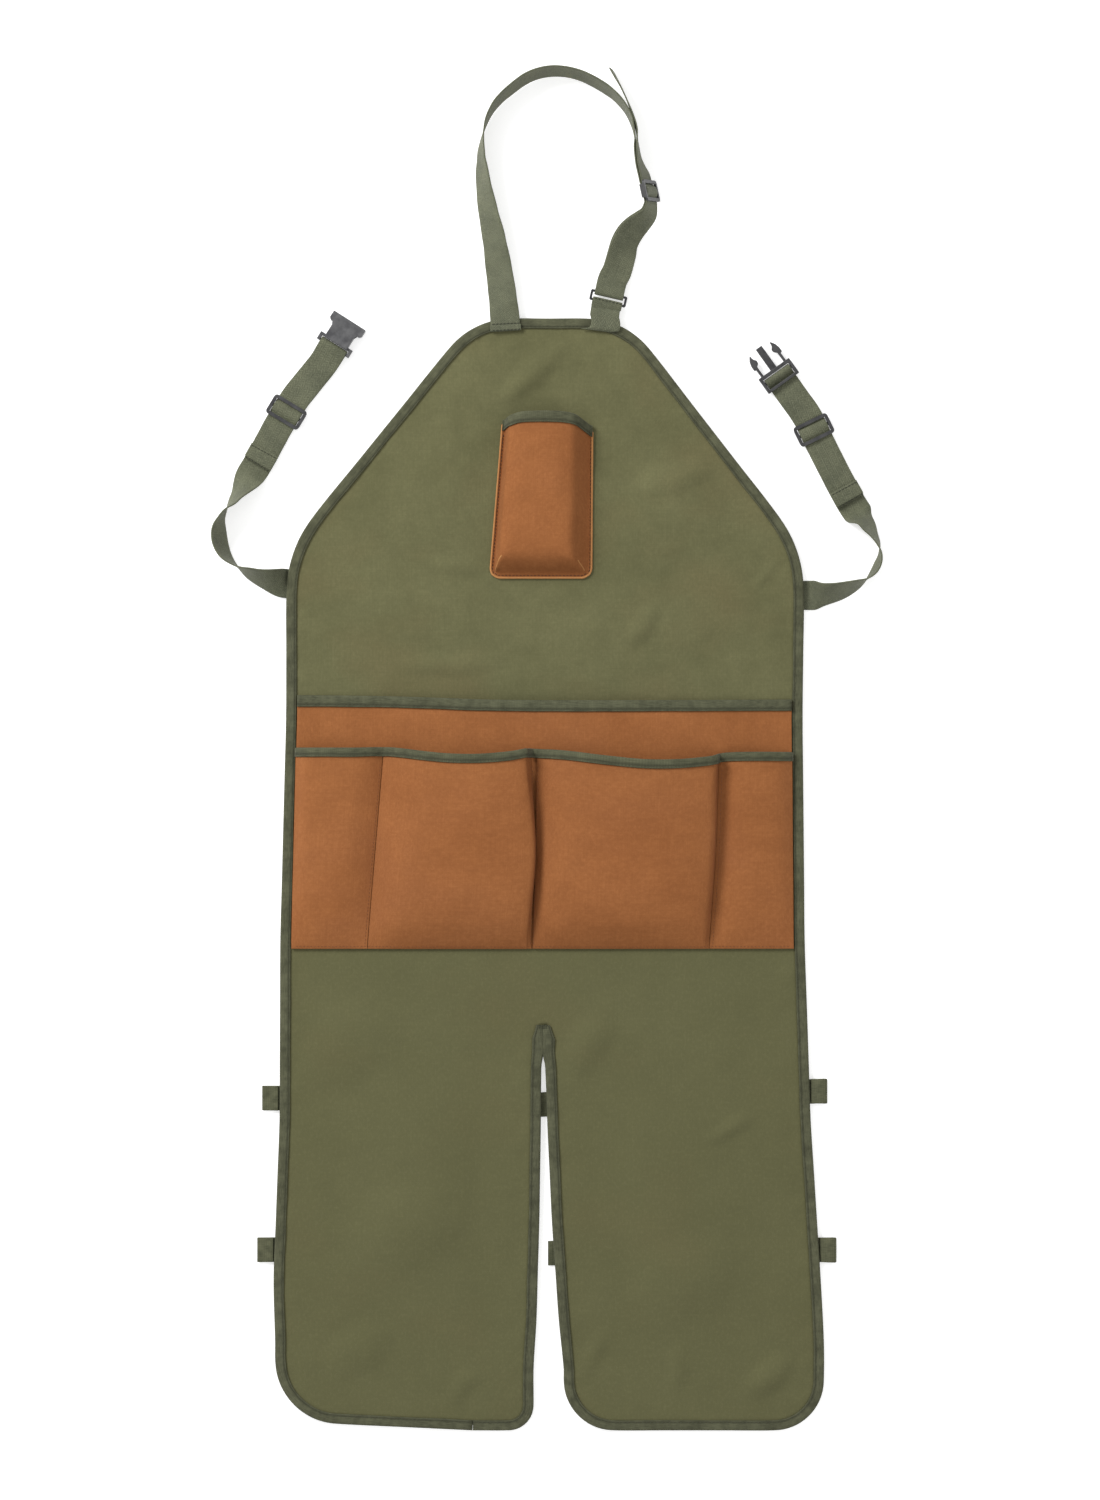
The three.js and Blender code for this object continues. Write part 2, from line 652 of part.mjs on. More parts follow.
// A strap through a list of points, each with its place, the way across, and whether it's on its
// way back
function strap(points, width, cloth) {
  const last = points.length - 1;
  return bentBox(1, last, (column, row, side) => {
    const { spot, across } = points[row];
    const along = points[Math.min(row + 1, last)].spot.clone().sub(points[Math.max(row - 1, 0)].spot);
    const up = across.clone().cross(along).normalize();
    return spot.clone().addScaledVector(across, (column - 0.5) * width).addScaledVector(up, side * cloth);
  }, (row) => points[row].back);
}

// Heights of a strap's first and second layer over its bed
const firstLayer = webCloth / 2;
const secondLayer = firstLayer + webCloth + ply;
const thirdLayer = secondLayer + webCloth + ply;
// A layer's way over a slider's middle bar: from is a share of the slider's length
const sliderHump = webCloth + ply + 0.6;
const humpStart = 0.31;
const humpTop = 0.125;

// Points of one layer through a slider, from its lower side to its upper side or back
function throughSlider(route, middle, layer, direction) {
  const spread = (layer - firstLayer) * 0.28;
  const offsets = [
    [-humpStart * sliderLength - spread, layer],
    [-humpTop * sliderLength - spread, layer + sliderHump],
    [humpTop * sliderLength + spread, layer + sliderHump],
    [humpStart * sliderLength + spread, layer],
  ];
  if (direction < 0) offsets.reverse();
  return offsets.map(([offset, height]) => route.point(middle + offset, height));
}

// Points of one layer between two distances, at whole steps along the route for each layer
function layerRun(route, from, to, height, step = 8) {
  const back = from > to;
  const low = Math.min(from, to) + step * 0.25;
  const high = Math.max(from, to) - step * 0.25;
  const points = [];
  for (let at = Math.ceil(low / step) * step; at < high; at += step) {
    points.push({ ...route.point(at, height), back });
  }
  return back ? points.reverse() : points;
}

// Points of a turn round a bar whose middle is at a distance and height, going up and back, and
// beyond half a turn by some degrees
function turnRound(route, distance, height, radius, beyond = 0) {
  const points = [];
  for (let angle = -90; angle <= 90 + beyond; angle += 30 + beyond / 6) {
    const forth = radius * Math.cos(angle * degree);
    points.push(route.point(distance + forth, height + radius * Math.sin(angle * degree)));
  }
  return points;
}

// Neck strap: across is a share of the loop's spread from the apron's middle, up of its rise above
// the neck edge, roll in degrees, and lift a share of the height of the neck edge's layers.
const neckTable = [
  { across: -0.275, up: -0.05, roll: 0, lift: 1 },
  { across: -0.28, up: 0.005, roll: 0, lift: 1 },
  { across: -0.285, up: 0.03, roll: 4, lift: 0.8 },
  { across: -0.29, up: 0.07, roll: 18, lift: 0.35 },
  { across: -0.315, up: 0.19, roll: 27, lift: 0 },
  { across: -0.345, up: 0.31, roll: 40, lift: 0 },
  { across: -0.385, up: 0.43, roll: 51, lift: 0 },
  { across: -0.415, up: 0.55, roll: 63, lift: 0 },
  { across: -0.425, up: 0.66, roll: 77, lift: 0 },
  { across: -0.41, up: 0.735, roll: 88, lift: 0 },
  { across: -0.38, up: 0.795, roll: 94, lift: 0 },
  { across: -0.325, up: 0.85, roll: 98, lift: 0 },
  { across: -0.24, up: 0.9, roll: 101, lift: 0 },
  { across: -0.125, up: 0.95, roll: 102, lift: 0 },
  { across: 0.005, up: 0.972, roll: 102, lift: 0 },
  { across: 0.16, up: 0.962, roll: 101, lift: 0 },
  { across: 0.32, up: 0.915, roll: 101, lift: 0 },
  { across: 0.43, up: 0.86, roll: 97, lift: 0 },
  { across: 0.5, up: 0.795, roll: 94, lift: 0 },
  { across: 0.53, up: 0.725, roll: 89, lift: 0, mark: 'parting' },
  { across: 0.54, up: 0.65, roll: 82, lift: 0 },
  { across: 0.562, up: 0.595, roll: 75, lift: 0.2 },
  { across: 0.591, up: 0.545, roll: 68, lift: 0.5 },
  { across: 0.61, up: 0.495, roll: 68, lift: 0.5, mark: 'slider' },
  { across: 0.626, up: 0.445, roll: 68, lift: 0.5 },
  { across: 0.604, up: 0.4, roll: 58, lift: 0.3 },
  { across: 0.54, up: 0.366, roll: 42, lift: 0.05 },
  { across: 0.475, up: 0.31, roll: 30, lift: 0 },
  { across: 0.45, up: 0.25, roll: 18, lift: 0.05 },
  { across: 0.425, up: 0.19, roll: 7, lift: 0.12 },
];
// Its free end, from where it parts from the loop on the outer side
const neckTailTable = [
  { across: 0.552, up: 0.745, roll: 90, lift: 0 },
  { across: 0.534, up: 0.785, roll: 90, lift: 0 },
  { across: 0.478, up: 0.88, roll: 95, lift: 0 },
  { across: 0.39, up: 0.985, roll: 98, lift: 0 },
];

function neckStation(row) {
  const x = row.across * neckLoopSpread;
  const y = row.up < 0 ? apronTop - neckRootHem : apronTop + row.up * neckLoopRise;
  return { x, y, roll: row.roll, lift: row.lift * rootLevel, mark: row.mark };
}

const ringAxis = flat(Math.sin(ringTilt), Math.cos(ringTilt));
const ringMiddle = flat(0.37 * neckLoopSpread, apronTop + ringRise);
const ringLevel = wire / 2 + loopRoom + webCloth;
const ringLift = 2.2;

function ringStation(run) {
  const spot = ringMiddle.clone().addScaledVector(ringAxis, run);
  return { x: spot.x, y: spot.y, roll: 0, lift: ringLift };
}

const neckRoute = new Route([
  ...neckTable.map(neckStation),
  ringStation(ringRun / 2 + 12),
  ringStation(ringRun / 2),
]);
const neckTailRoute = new Route(neckTailTable.map(neckStation));
const ringTurn = wire / 2 + loopRoom + webCloth / 2;

// Beyond the ring's bar the strap's upper layer comes down to the lower one within this run
const ringSettle = 13;

function neckStrap() {
  const slider = neckRoute.distanceTo('slider');
  const end = neckRoute.length;
  const through = sliderLength * throughShare;
  const points = [
    neckRoute.point(0, firstLayer),
    ...layerRun(neckRoute, 0, slider - through, firstLayer),
    ...throughSlider(neckRoute, slider, firstLayer, 1),
    ...layerRun(neckRoute, slider + through, end - ringSettle * 0.3, firstLayer),
    ...turnRound(neckRoute, end, ringLevel, ringTurn),
    neckRoute.point(end - ringSettle * 0.4, ringLevel + ringTurn - ply),
    neckRoute.point(end - ringSettle, secondLayer + ply),
    ...layerRun(neckRoute, end - ringSettle - 1, slider + through, secondLayer),
    ...throughSlider(neckRoute, slider, secondLayer, -1),
    ...layerRun(neckRoute, slider - through, neckRoute.distanceTo('parting'), secondLayer + ply),
    neckTailRoute.point(0, firstLayer),
    ...layerRun(neckTailRoute, 0, neckTailRoute.length, firstLayer, 12),
    neckTailRoute.point(neckTailRoute.length, firstLayer),
  ];
  return strap(points, webWidth, webCloth);
}

// The short tab that holds the ring: its middle at the hem is a share of the loop's spread, and
// it leans over by a share of the ring's tilt
const tabAcross = 0.339;
const tabLean = Math.tan(ringTilt * 0.5);
const tabStation = (rise) => ({
  x: tabAcross * neckLoopSpread + rise * tabLean,
  y: apronTop - neckRootHem + rise,
  roll: 0,
  lift: rootLevel,
});
const tabRoute = new Route([
  tabStation(0),
  tabStation(neckRootHem / 2),
  tabStation(neckRootHem),
  ringStation(-ringRun / 2 - 5),
  ringStation(-ringRun / 2),
]);

const tabSettle = 5;

function neckTab() {
  const end = tabRoute.length;
  return strap([
    tabRoute.point(0, firstLayer),
    ...layerRun(tabRoute, 0, end - tabSettle * 0.4, firstLayer, 3),
    ...turnRound(tabRoute, end, ringLevel, ringTurn),
    tabRoute.point(end - tabSettle * 0.6, secondLayer + wire * 0.8),
    ...layerRun(tabRoute, end - tabSettle, 0, secondLayer, 3),
    tabRoute.point(0, secondLayer),
  ], webWidth, webCloth);
}

// Hardware lies in a strap's own directions at a distance along its route
function placedOn(route, distance, geometry) {
  const { spot, along, across, up } = route.frame(distance);
  const matrix = new THREE.Matrix4().makeBasis(across, along, up).setPosition(spot);
  return geometry.applyMatrix4(matrix);
}

const atEndOf = (route, geometry) => placedOn(route, route.length, geometry);

function roundedRectangle(width, length, round) {
  const shape = new THREE.Shape();
  const x = width / 2;
  const y = length / 2;
  shape.moveTo(-x + round, -y);
  shape.lineTo(x - round, -y);
  shape.absarc(x - round, -y + round, round, -Math.PI / 2, 0);
  shape.absarc(x - round, y - round, round, 0, Math.PI / 2);
  shape.absarc(-x + round, y - round, round, Math.PI / 2, Math.PI);
  shape.absarc(-x + round, -y + round, round, Math.PI, Math.PI * 1.5);
  return shape;
}

// A slider: a frame with two end bars over the strap and a middle bar under it
function slider() {
  const barUnder = webCloth * 2 + ply * 2;
  const frame = roundedRectangle(frameWidth, sliderLength, wallRound);
  frame.holes.push(roundedRectangle(frameWidth - 2 * rail, sliderLength - 2 * sliderBar, 0.4));
  const parts = [plate(frame, sliderHeight - barUnder, barUnder)];
  const railX = (frameWidth - rail) / 2;
  for (const side of [-1, 1]) {
    parts.push(block(rail, sliderLength * railShare, sliderHeight - ply, side * railX, 0, ply));
  }
  parts.push(block(frameWidth - rail, sliderBar, sliderHump - 2 * ply, 0, 0, ply));
  return fromManifold(joined(parts));
}

const sliderOn = (route) => placedOn(route, route.distanceTo('slider'), slider());

function neckRing() {
  const frame = roundedRectangle(frameWidth, ringRun + wire, 1.4);
  frame.holes.push(roundedRectangle(frameWidth - 2 * wire, ringRun - wire, 0.5));
  const geometry = plate(frame, wire, -wire / 2);
  const matrix = new THREE.Matrix4().makeRotationZ(-ringTilt);
  matrix.setPosition(ringMiddle.x, ringMiddle.y, ringLift + ringLevel);
  return weld(geometry.applyMatrix4(matrix));
}

// Waist straps: out is a share of the strap's reach beyond the apron's side, up of its rise above
// the root, roll in degrees.
const waistTableLeft = [
  { out: -0.4, up: 0, roll: 0 },
  { out: 0.03, up: 0, roll: 0 },
  { out: 0.1, up: 0.004, roll: 22 },
  { out: 0.2, up: 0.011, roll: 42 },
  { out: 0.38, up: 0.027, roll: 60 },
  { out: 0.555, up: 0.05, roll: 73 },
  { out: 0.665, up: 0.07, roll: 90 },
  { out: 0.82, up: 0.115, roll: 108 },
  { out: 0.905, up: 0.175, roll: 118 },
  { out: 0.915, up: 0.235, roll: 112 },
  { out: 0.845, up: 0.295, roll: 90 },
  { out: 0.7, up: 0.355, roll: 67 },
  { out: 0.59, up: 0.41, roll: 42 },
  { out: 0.475, up: 0.468, roll: 0 },
  { out: 0.36, up: 0.525, roll: 0 },
  { out: 0.235, up: 0.595, roll: 0 },
  { out: 0.11, up: 0.665, roll: 0 },
  { out: 0, up: 0.72, roll: 0, mark: 'slider' },
  { out: -0.11, up: 0.775, roll: 0 },
  { out: -0.335, up: 0.86, roll: 0 },
  { out: -0.53, up: 0.935, roll: 0 },
  { out: -0.652, up: 0.993, roll: 0 },
];
const waistTableRight = [
  { out: -0.4, up: 0, roll: 0 },
  { out: 0.08, up: 0, roll: 0 },
  { out: 0.14, up: 0.001, roll: -20 },
  { out: 0.24, up: 0.005, roll: -42 },
  { out: 0.42, up: 0.017, roll: -56 },
  { out: 0.605, up: 0.04, roll: -66 },
  { out: 0.72, up: 0.06, roll: -80 },
  { out: 0.795, up: 0.078, roll: -90 },
  { out: 0.89, up: 0.12, roll: -101 },
  { out: 0.935, up: 0.165, roll: -98 },
  { out: 0.945, up: 0.205, roll: -86 },
  { out: 0.89, up: 0.255, roll: -73 },
  { out: 0.75, up: 0.34, roll: -50 },
  { out: 0.656, up: 0.385, roll: 0 },
  { out: 0.55, up: 0.448, roll: 0 },
  { out: 0.44, up: 0.52, roll: 0 },
  { out: 0.31, up: 0.61, roll: 0 },
  { out: 0.21, up: 0.68, roll: 0 },
  { out: 0.12, up: 0.745, roll: 0, mark: 'slider' },
  { out: 0.03, up: 0.81, roll: 0 },
  { out: -0.11, up: 0.88, roll: 0 },
  { out: -0.24, up: 0.945, roll: 0 },
  { out: -0.335, up: 0.992, roll: 0 },
];

function waistRoute(table, side, drop, reach, rise) {
  const root = side * waistWidth / 2 + armLean;
  return new Route(table.map((row) => ({
    x: root + side * row.out * reach,
    y: apronTop - drop + row.up * rise,
    roll: row.roll,
    lift: 0,
    mark: row.mark,
  })));
}

const waistRouteLeft = waistRoute(waistTableLeft, -1, waistRootLeft, waistReachLeft, waistRiseLeft);
const waistRouteRight = waistRoute(waistTableRight, 1, waistRootRight, waistReachRight, waistRiseRight);

// From the root through the slider, round the buckle's bar, back over the slider, and to the
// end that is turned up on itself. At the bar it turns at a level and radius, some degrees
// beyond half a turn, and lies flat again at a distance.
function waistStrap(route, tail, { barLevel, turn, flatten, beyond }) {
  const slider = route.distanceTo('slider');
  const through = sliderLength * throughShare;
  const tailEnd = slider - tail;
  const hemTurn = (thirdLayer - secondLayer) / 2;
  return strap([
    route.point(0, firstLayer),
    ...layerRun(route, 0, slider - through, firstLayer),
    ...throughSlider(route, slider, firstLayer, 1),
    ...layerRun(route, slider + through, route.length - flatten, firstLayer),
    route.point(route.length - flatten, firstLayer),
    ...turnRound(route, route.length, barLevel, turn, beyond),
    route.point(route.length - flatten, secondLayer + 0.3),
    ...layerRun(route, route.length - flatten, slider + through, secondLayer),
    ...throughSlider(route, slider, secondLayer, -1),
    ...layerRun(route, slider - through, tailEnd, secondLayer),
    route.point(tailEnd, secondLayer),
    route.point(tailEnd - hemTurn * 0.9, secondLayer + hemTurn * 0.5),
    route.point(tailEnd - hemTurn * 0.9, secondLayer + hemTurn * 1.5),
    route.point(tailEnd, thirdLayer),
    route.point(tailEnd + endHem, thirdLayer),
  ], webWidth, webCloth);
}

// Buckle, female half: a flat body with a wide mouth, a waist, and a bar for the strap
const socketBar = 2.4;
const socketBarLevel = buckleHeight / 2;
const socketTurn = socketBar * 0.71 + ply + webCloth / 2;
const socketWall = socketTurn + webCloth / 2 + ply;
const socketEnd = { barLevel: socketBarLevel, turn: socketTurn, flatten: 14, beyond: 18 };

function buckleSocket() {
  const head = frameWidth / 2;
  const neck = socketNeckWidth / 2;
  const headFoot = socketLength - socketHead;
  const half = [
    [neck, socketWall],
    [neck, headFoot - shoulder],
    [neck + shoulderStep, headFoot],
    [head - mouthBevel, headFoot],
    [head, headFoot + mouthBevel],
    [head, socketLength],
  ];
  const outer = half.map(([x, y]) => new THREE.Vector2(x, y));
  const mirrored = half.map(([x, y]) => new THREE.Vector2(-x, y));
  const body = new THREE.Shape([...outer, ...mirrored.toReversed()]);
  const armEnd = socketWall + socketBack;
  const armLength = armEnd + socketBar / 2;
  const armX = (frameWidth - rail) / 2;
  const mouth = (buckleHeight - mouthHeight) / 2;
  const parts = [plate(body, buckleHeight, 0)];
  for (const side of [-1, 1]) {
    parts.push(block(rail, armLength, mouthHeight, side * armX, armEnd - armLength / 2, mouth));
  }
  parts.push(block(frameWidth, socketBack, mouthHeight, 0, socketWall + socketBack / 2, mouth));
  parts.push(block(frameWidth - rail, socketBar, socketBar, 0, 0, socketBarLevel - socketBar / 2));
  const insideHead = frameWidth - 2 * rail;
  const insideNeck = socketNeckWidth - 2 * rail;
  const neckMiddle = headFoot / 2 + armEnd;
  const window = headFoot - shoulder / 2;
  const hollow = [
    block(insideHead, socketHead + 1, mouthHeight, 0, socketLength - socketHead / 2 + 1, mouth),
    block(insideNeck, headFoot, mouthHeight, 0, neckMiddle, mouth),
    block(frameWidth, shoulder, mouthHeight, 0, window, mouth),
  ];
  return fromManifold(joined(parts).subtract(joined(hollow)));
}

// Buckle, male half: a frame with two bars, a middle tongue and two barbed side prongs
const plugBar = 2.6;
const plugBarLevel = plugFloor + plugHeight / 2;
const plugTurn = plugBar * 0.71 + ply + webCloth / 2;
const plugWall = plugTurn + webCloth / 2 + ply;
const plugEnd = { barLevel: plugBarLevel, turn: plugTurn, flatten: 5.2, beyond: 42 };

// Side prong's outline from its root: out is from its stem's middle, and up a share of its length
const prongStem = 11.4; // from the buckle's middle to the stem's
const prongOutline = [
  { out: 1.1, up: 0 },
  { out: 1.1, up: 0.38 },
  { out: 2.8, up: 0.42 },
  { out: 2.7, up: 0.62 },
  { out: 1.7, up: 0.8 },
  { out: -0.4, up: 0.96 },
  { out: -1.4, up: 1 },
  { out: -1.5, up: 0.88 },
  { out: -2.0, up: 0.79 },
  { out: -3.8, up: 0.69 },
  { out: -3.4, up: 0.57 },
  { out: -1.1, up: 0.47 },
  { out: -1.1, up: 0 },
];

function sideProng(side) {
  const outline = prongOutline.map(({ out, up }) => (
    new THREE.Vector2(side * (prongStem + out), plugWall + plugBack * 0.7 + up * prongLength)));
  return plate(new THREE.Shape(outline), prongHeight, prongFloor);
}

function bucklePlug() {
  const railX = (frameWidth - rail) / 2;
  const front = plugWall + plugBack;
  const parts = [block(frameWidth, plugBack, plugHeight, 0, front - plugBack / 2, plugFloor)];
  for (const side of [-1, 1]) {
    parts.push(block(rail, plugBody, plugHeight, side * railX, front - plugBody / 2, plugFloor));
    parts.push(sideProng(side));
  }
  parts.push(block(frameWidth - rail, plugBar, plugBar, 0, 0, plugBarLevel - plugBar / 2));
  const overStrap = webCloth * 2 + ply * 4;
  const endBarHeight = plugFloor + plugHeight - overStrap;
  const endBar = front - plugBody + plugEndBar / 2;
  parts.push(block(frameWidth, plugEndBar, endBarHeight, 0, endBar, overStrap));
  const tongue = front - 1 + tongueLength / 2;
  parts.push(block(tongueWidth, tongueLength, prongHeight, 0, tongue, prongFloor));
  return fromManifold(joined(parts));
}

// Leg straps: elastic webbing laid flat behind each leg, sewn at both edges. Its outer end is
// turned back on itself outside the leg; on the right leg that makes an open loop.
function legStrap(rise, side, loopRise, innerTab, fall) {
  const y = hemLine + rise;
  const outerEdge = outlineAcross(y, side);
  const start = slitEdge(y - fall, side) - side * innerTab;
  const reach = Math.abs(outerEdge - start) + legTab;
  const slope = fall / (reach - legTab);
  const turn = (elasticCloth + ply + loopRise) / 2;
  const spot = (distance, height) => {
    const drop = Math.max(0, fall - distance * slope);
    const place = flat(start + side * distance, y - drop, elasticCloth / 2 + height);
    return { spot: place, across: flat(0, -side) };
  };
  const points = [spot(0, 0)];
  for (let i = 1; i <= 4; i++) points.push(spot((reach - turn) * i / 4, 0));
  for (let angle = -60; angle <= 90; angle += 30) {
    const forth = turn * Math.cos(angle * degree);
    points.push(spot(reach - turn + forth, turn + turn * Math.sin(angle * degree)));
  }
  points.push(spot(reach - legTab + tabEndGap, Math.min(turn * 2, tabEndLevel)));
  return strap(points, elasticWidth, elasticCloth);
}

// The assembly
const apron = new THREE.Group();

function addPiece(name, geometry, material) {
  const mesh = new THREE.Mesh(geometry, material);
  mesh.name = name;
  apron.add(mesh);
}

const backLast = [backColumns.length - 1, pocketRows.length - 1];
const frontLast = [frontColumns.length - 1, pocketRows.length - 1];
const chestLast = [chestColumns.length - 1, chestRows.length - 1];
const leftLegStrap = (rise) => legStrap(rise, -1, 0, -legInset, 0);
const rightLegStrap = (rise, fall) => legStrap(rise, 1, legLoopRise, legTabInner, fall);
const frontTape = (first, last) => mouthTape(...frontLast, frontSpot, frontTapeWidth, first, last);

addPiece('main_panel', mainPanel(), greenCanvas);
addPiece('edge_binding', edgeBinding(), greenTape);
addPiece('back_pocket', clothSheet(...backLast, backSpot, pocketCloth), brownCanvas);
addPiece('back_pocket_binding', mouthTape(...backLast, backSpot, mouthTapeWidth), greenTape);
addPiece('front_pocket_left', frontPocket(0, frontSeam('left outer')), brownCanvas);
addPiece('bellows_pocket_left', frontPocket(...frontSeams('left inner', 'middle left')), brownCanvas);
addPiece('bellows_pocket_right', frontPocket(...frontSeams('middle right', 'right inner')), brownCanvas);
addPiece('front_pocket_right', frontPocket(frontSeam('right outer'), frontLast[0]), brownCanvas);
addPiece('front_binding_left', frontTape(0, frontSeam('left inner')), greenTape);
addPiece('bellows_binding_left', frontTape(...frontSeams('left inner', 'middle right')), greenTape);
addPiece('bellows_binding_right', frontTape(...frontSeams('middle right', 'right inner')), greenTape);
addPiece('front_binding_right', frontTape(frontSeam('right inner'), frontLast[0]), greenTape);
addPiece('chest_pocket', clothSheet(...chestLast, chestSpot, pocketCloth), brownCanvas);
addPiece('chest_pocket_binding', mouthTape(...chestLast, chestSpot, mouthTapeWidth), greenTape);
addPiece('neck_strap', neckStrap(), webbing);
addPiece('neck_slider', sliderOn(neckRoute), greyPlastic);
addPiece('neck_ring', neckRing(), blackWire);
addPiece('neck_tab', neckTab(), webbing);
addPiece('waist_strap_left', waistStrap(waistRouteLeft, waistTailLeft, socketEnd), webbing);
addPiece('waist_strap_right', waistStrap(waistRouteRight, waistTailRight, plugEnd), webbing);
addPiece('waist_slider_left', sliderOn(waistRouteLeft), greyPlastic);
addPiece('waist_slider_right', sliderOn(waistRouteRight), greyPlastic);
addPiece('buckle_socket', atEndOf(waistRouteLeft, buckleSocket()), greyPlastic);
addPiece('buckle_plug', atEndOf(waistRouteRight, bucklePlug()), greyPlastic);
addPiece('leg_strap_left_upper', leftLegStrap(legUpperLeft), webbing);
addPiece('leg_strap_left_lower', leftLegStrap(legLower), webbing);
addPiece('leg_strap_right_upper', rightLegStrap(legUpperRight, legFallUpper), webbing);
addPiece('leg_strap_right_lower', rightLegStrap(legLower, legFallLower), webbing);

export default apron;
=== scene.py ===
# %% [markdown]
# # A gardening apron laid out flat
# The real apron is one long cut of green canvas with brown canvas pockets. Folded tape is sewn
# round every edge, and webbing straps go round the neck and the waist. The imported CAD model
# gives the place and size of every piece. It is loaded first and stays where it is, and each of
# its plain cloth solids is then replaced by finely meshed cloth in the same place.

# %% Load the frame
import math

import bmesh
import bpy
from mathutils import Matrix, Vector, noise
from mathutils.bvhtree import BVHTree
from mathutils.kdtree import KDTree


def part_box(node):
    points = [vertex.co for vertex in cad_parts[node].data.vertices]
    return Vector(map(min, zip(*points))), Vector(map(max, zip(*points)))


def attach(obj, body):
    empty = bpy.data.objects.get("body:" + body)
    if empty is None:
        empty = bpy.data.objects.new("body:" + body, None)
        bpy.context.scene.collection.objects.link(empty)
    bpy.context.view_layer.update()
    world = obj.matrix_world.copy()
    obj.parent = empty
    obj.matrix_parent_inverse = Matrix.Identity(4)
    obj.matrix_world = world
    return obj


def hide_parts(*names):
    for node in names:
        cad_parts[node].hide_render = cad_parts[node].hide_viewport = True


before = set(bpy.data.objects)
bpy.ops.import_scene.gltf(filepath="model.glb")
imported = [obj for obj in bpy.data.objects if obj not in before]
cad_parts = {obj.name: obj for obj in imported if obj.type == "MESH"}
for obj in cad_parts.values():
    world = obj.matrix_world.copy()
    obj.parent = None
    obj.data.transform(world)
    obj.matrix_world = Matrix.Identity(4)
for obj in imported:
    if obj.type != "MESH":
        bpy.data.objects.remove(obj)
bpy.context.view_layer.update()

# %% [markdown]
# ## The camera
# The apron was photographed from straight above. A long lens keeps the view almost parallel,
# so the camera hangs high over the middle of the picture and looks down its own -Z.

# %% Camera
PICTURE_HEIGHT = 1.25  # metres of cloth from the picture's foot to its top
PICTURE_MIDDLE = (0.00042, -0.00125)
CLOTH_LEVEL = 0.006  # the picture's height is measured at the canvas
camera_data = bpy.data.cameras.new("camera")
camera_data.sensor_fit = "VERTICAL"
camera_data.sensor_height = 36
camera_data.lens = 100
camera = bpy.data.objects.new("camera", camera_data)
camera_rise = PICTURE_HEIGHT * camera_data.lens / camera_data.sensor_height
camera.location = (*PICTURE_MIDDLE, camera_rise + CLOTH_LEVEL)
bpy.context.scene.collection.objects.link(camera)
bpy.context.scene.camera = camera
print("camera height in metres:", round(camera_rise, 3))

# %% [markdown]
# ## Sizes that the pieces share
# These are the same values as in the CAD source, in millimetres. The pieces are worked out in
# millimetres, because that is how a sewing pattern is drawn, and made in metres.

# %% Shared sizes
MM = 0.001
PANEL_CLOTH = 1.6
POCKET_CLOTH = 1.0
TAPE_CLOTH = 1.0
PLY = 0.3  # clearance between layers that are sewn together
TAPE_WIDTH = 8.8
MOUTH_TAPE_WIDTH = 8.2
FRONT_TAPE_WIDTH = 6.4
ELASTIC_CLOTH, ELASTIC_WIDTH = 1.2, 21
WEB_CLOTH, WEB_WIDTH = 1.2, 25
APRON_TOP = 358.75
PANEL_MIDDLE = ELASTIC_CLOTH + PLY + TAPE_CLOTH + PLY + PANEL_CLOTH / 2
PANEL_TOP = PANEL_MIDDLE + PANEL_CLOTH / 2
print("the panel's top face is", round(PANEL_TOP, 2), "mm above the floor")

# %% [markdown]
# ## Shader maths in plain Python
# A finish is a tree of nodes. Wrapping each socket in a small class lets Python's own operators
# add the Math nodes, so that a pattern reads as the formula that it is. Colours go through Mix
# nodes, because a Math node would turn them grey.


# %% Shader helpers
class Value:
    """A socket of a finish that Python's operators work on."""

    def __init__(self, finish, socket):
        self.finish = finish
        self.socket = socket

    def other(self, output):
        return Value(self.finish, self.socket.node.outputs[output])

    def math(self, operation, *values):
        return self.finish.node("Math", {"operation": operation}, dict(enumerate(values)))

    def __add__(self, value):
        return self.math("ADD", self, value)

    def __sub__(self, value):
        return self.math("SUBTRACT", self, value)

    def __rsub__(self, value):
        return self.math("SUBTRACT", value, self)

    def __mul__(self, value):
        return self.math("MULTIPLY", self, value)

    def sine(self):
        return self.math("SINE", self)

    def zigzag(self, size):
        return self.math("PINGPONG", self, size)


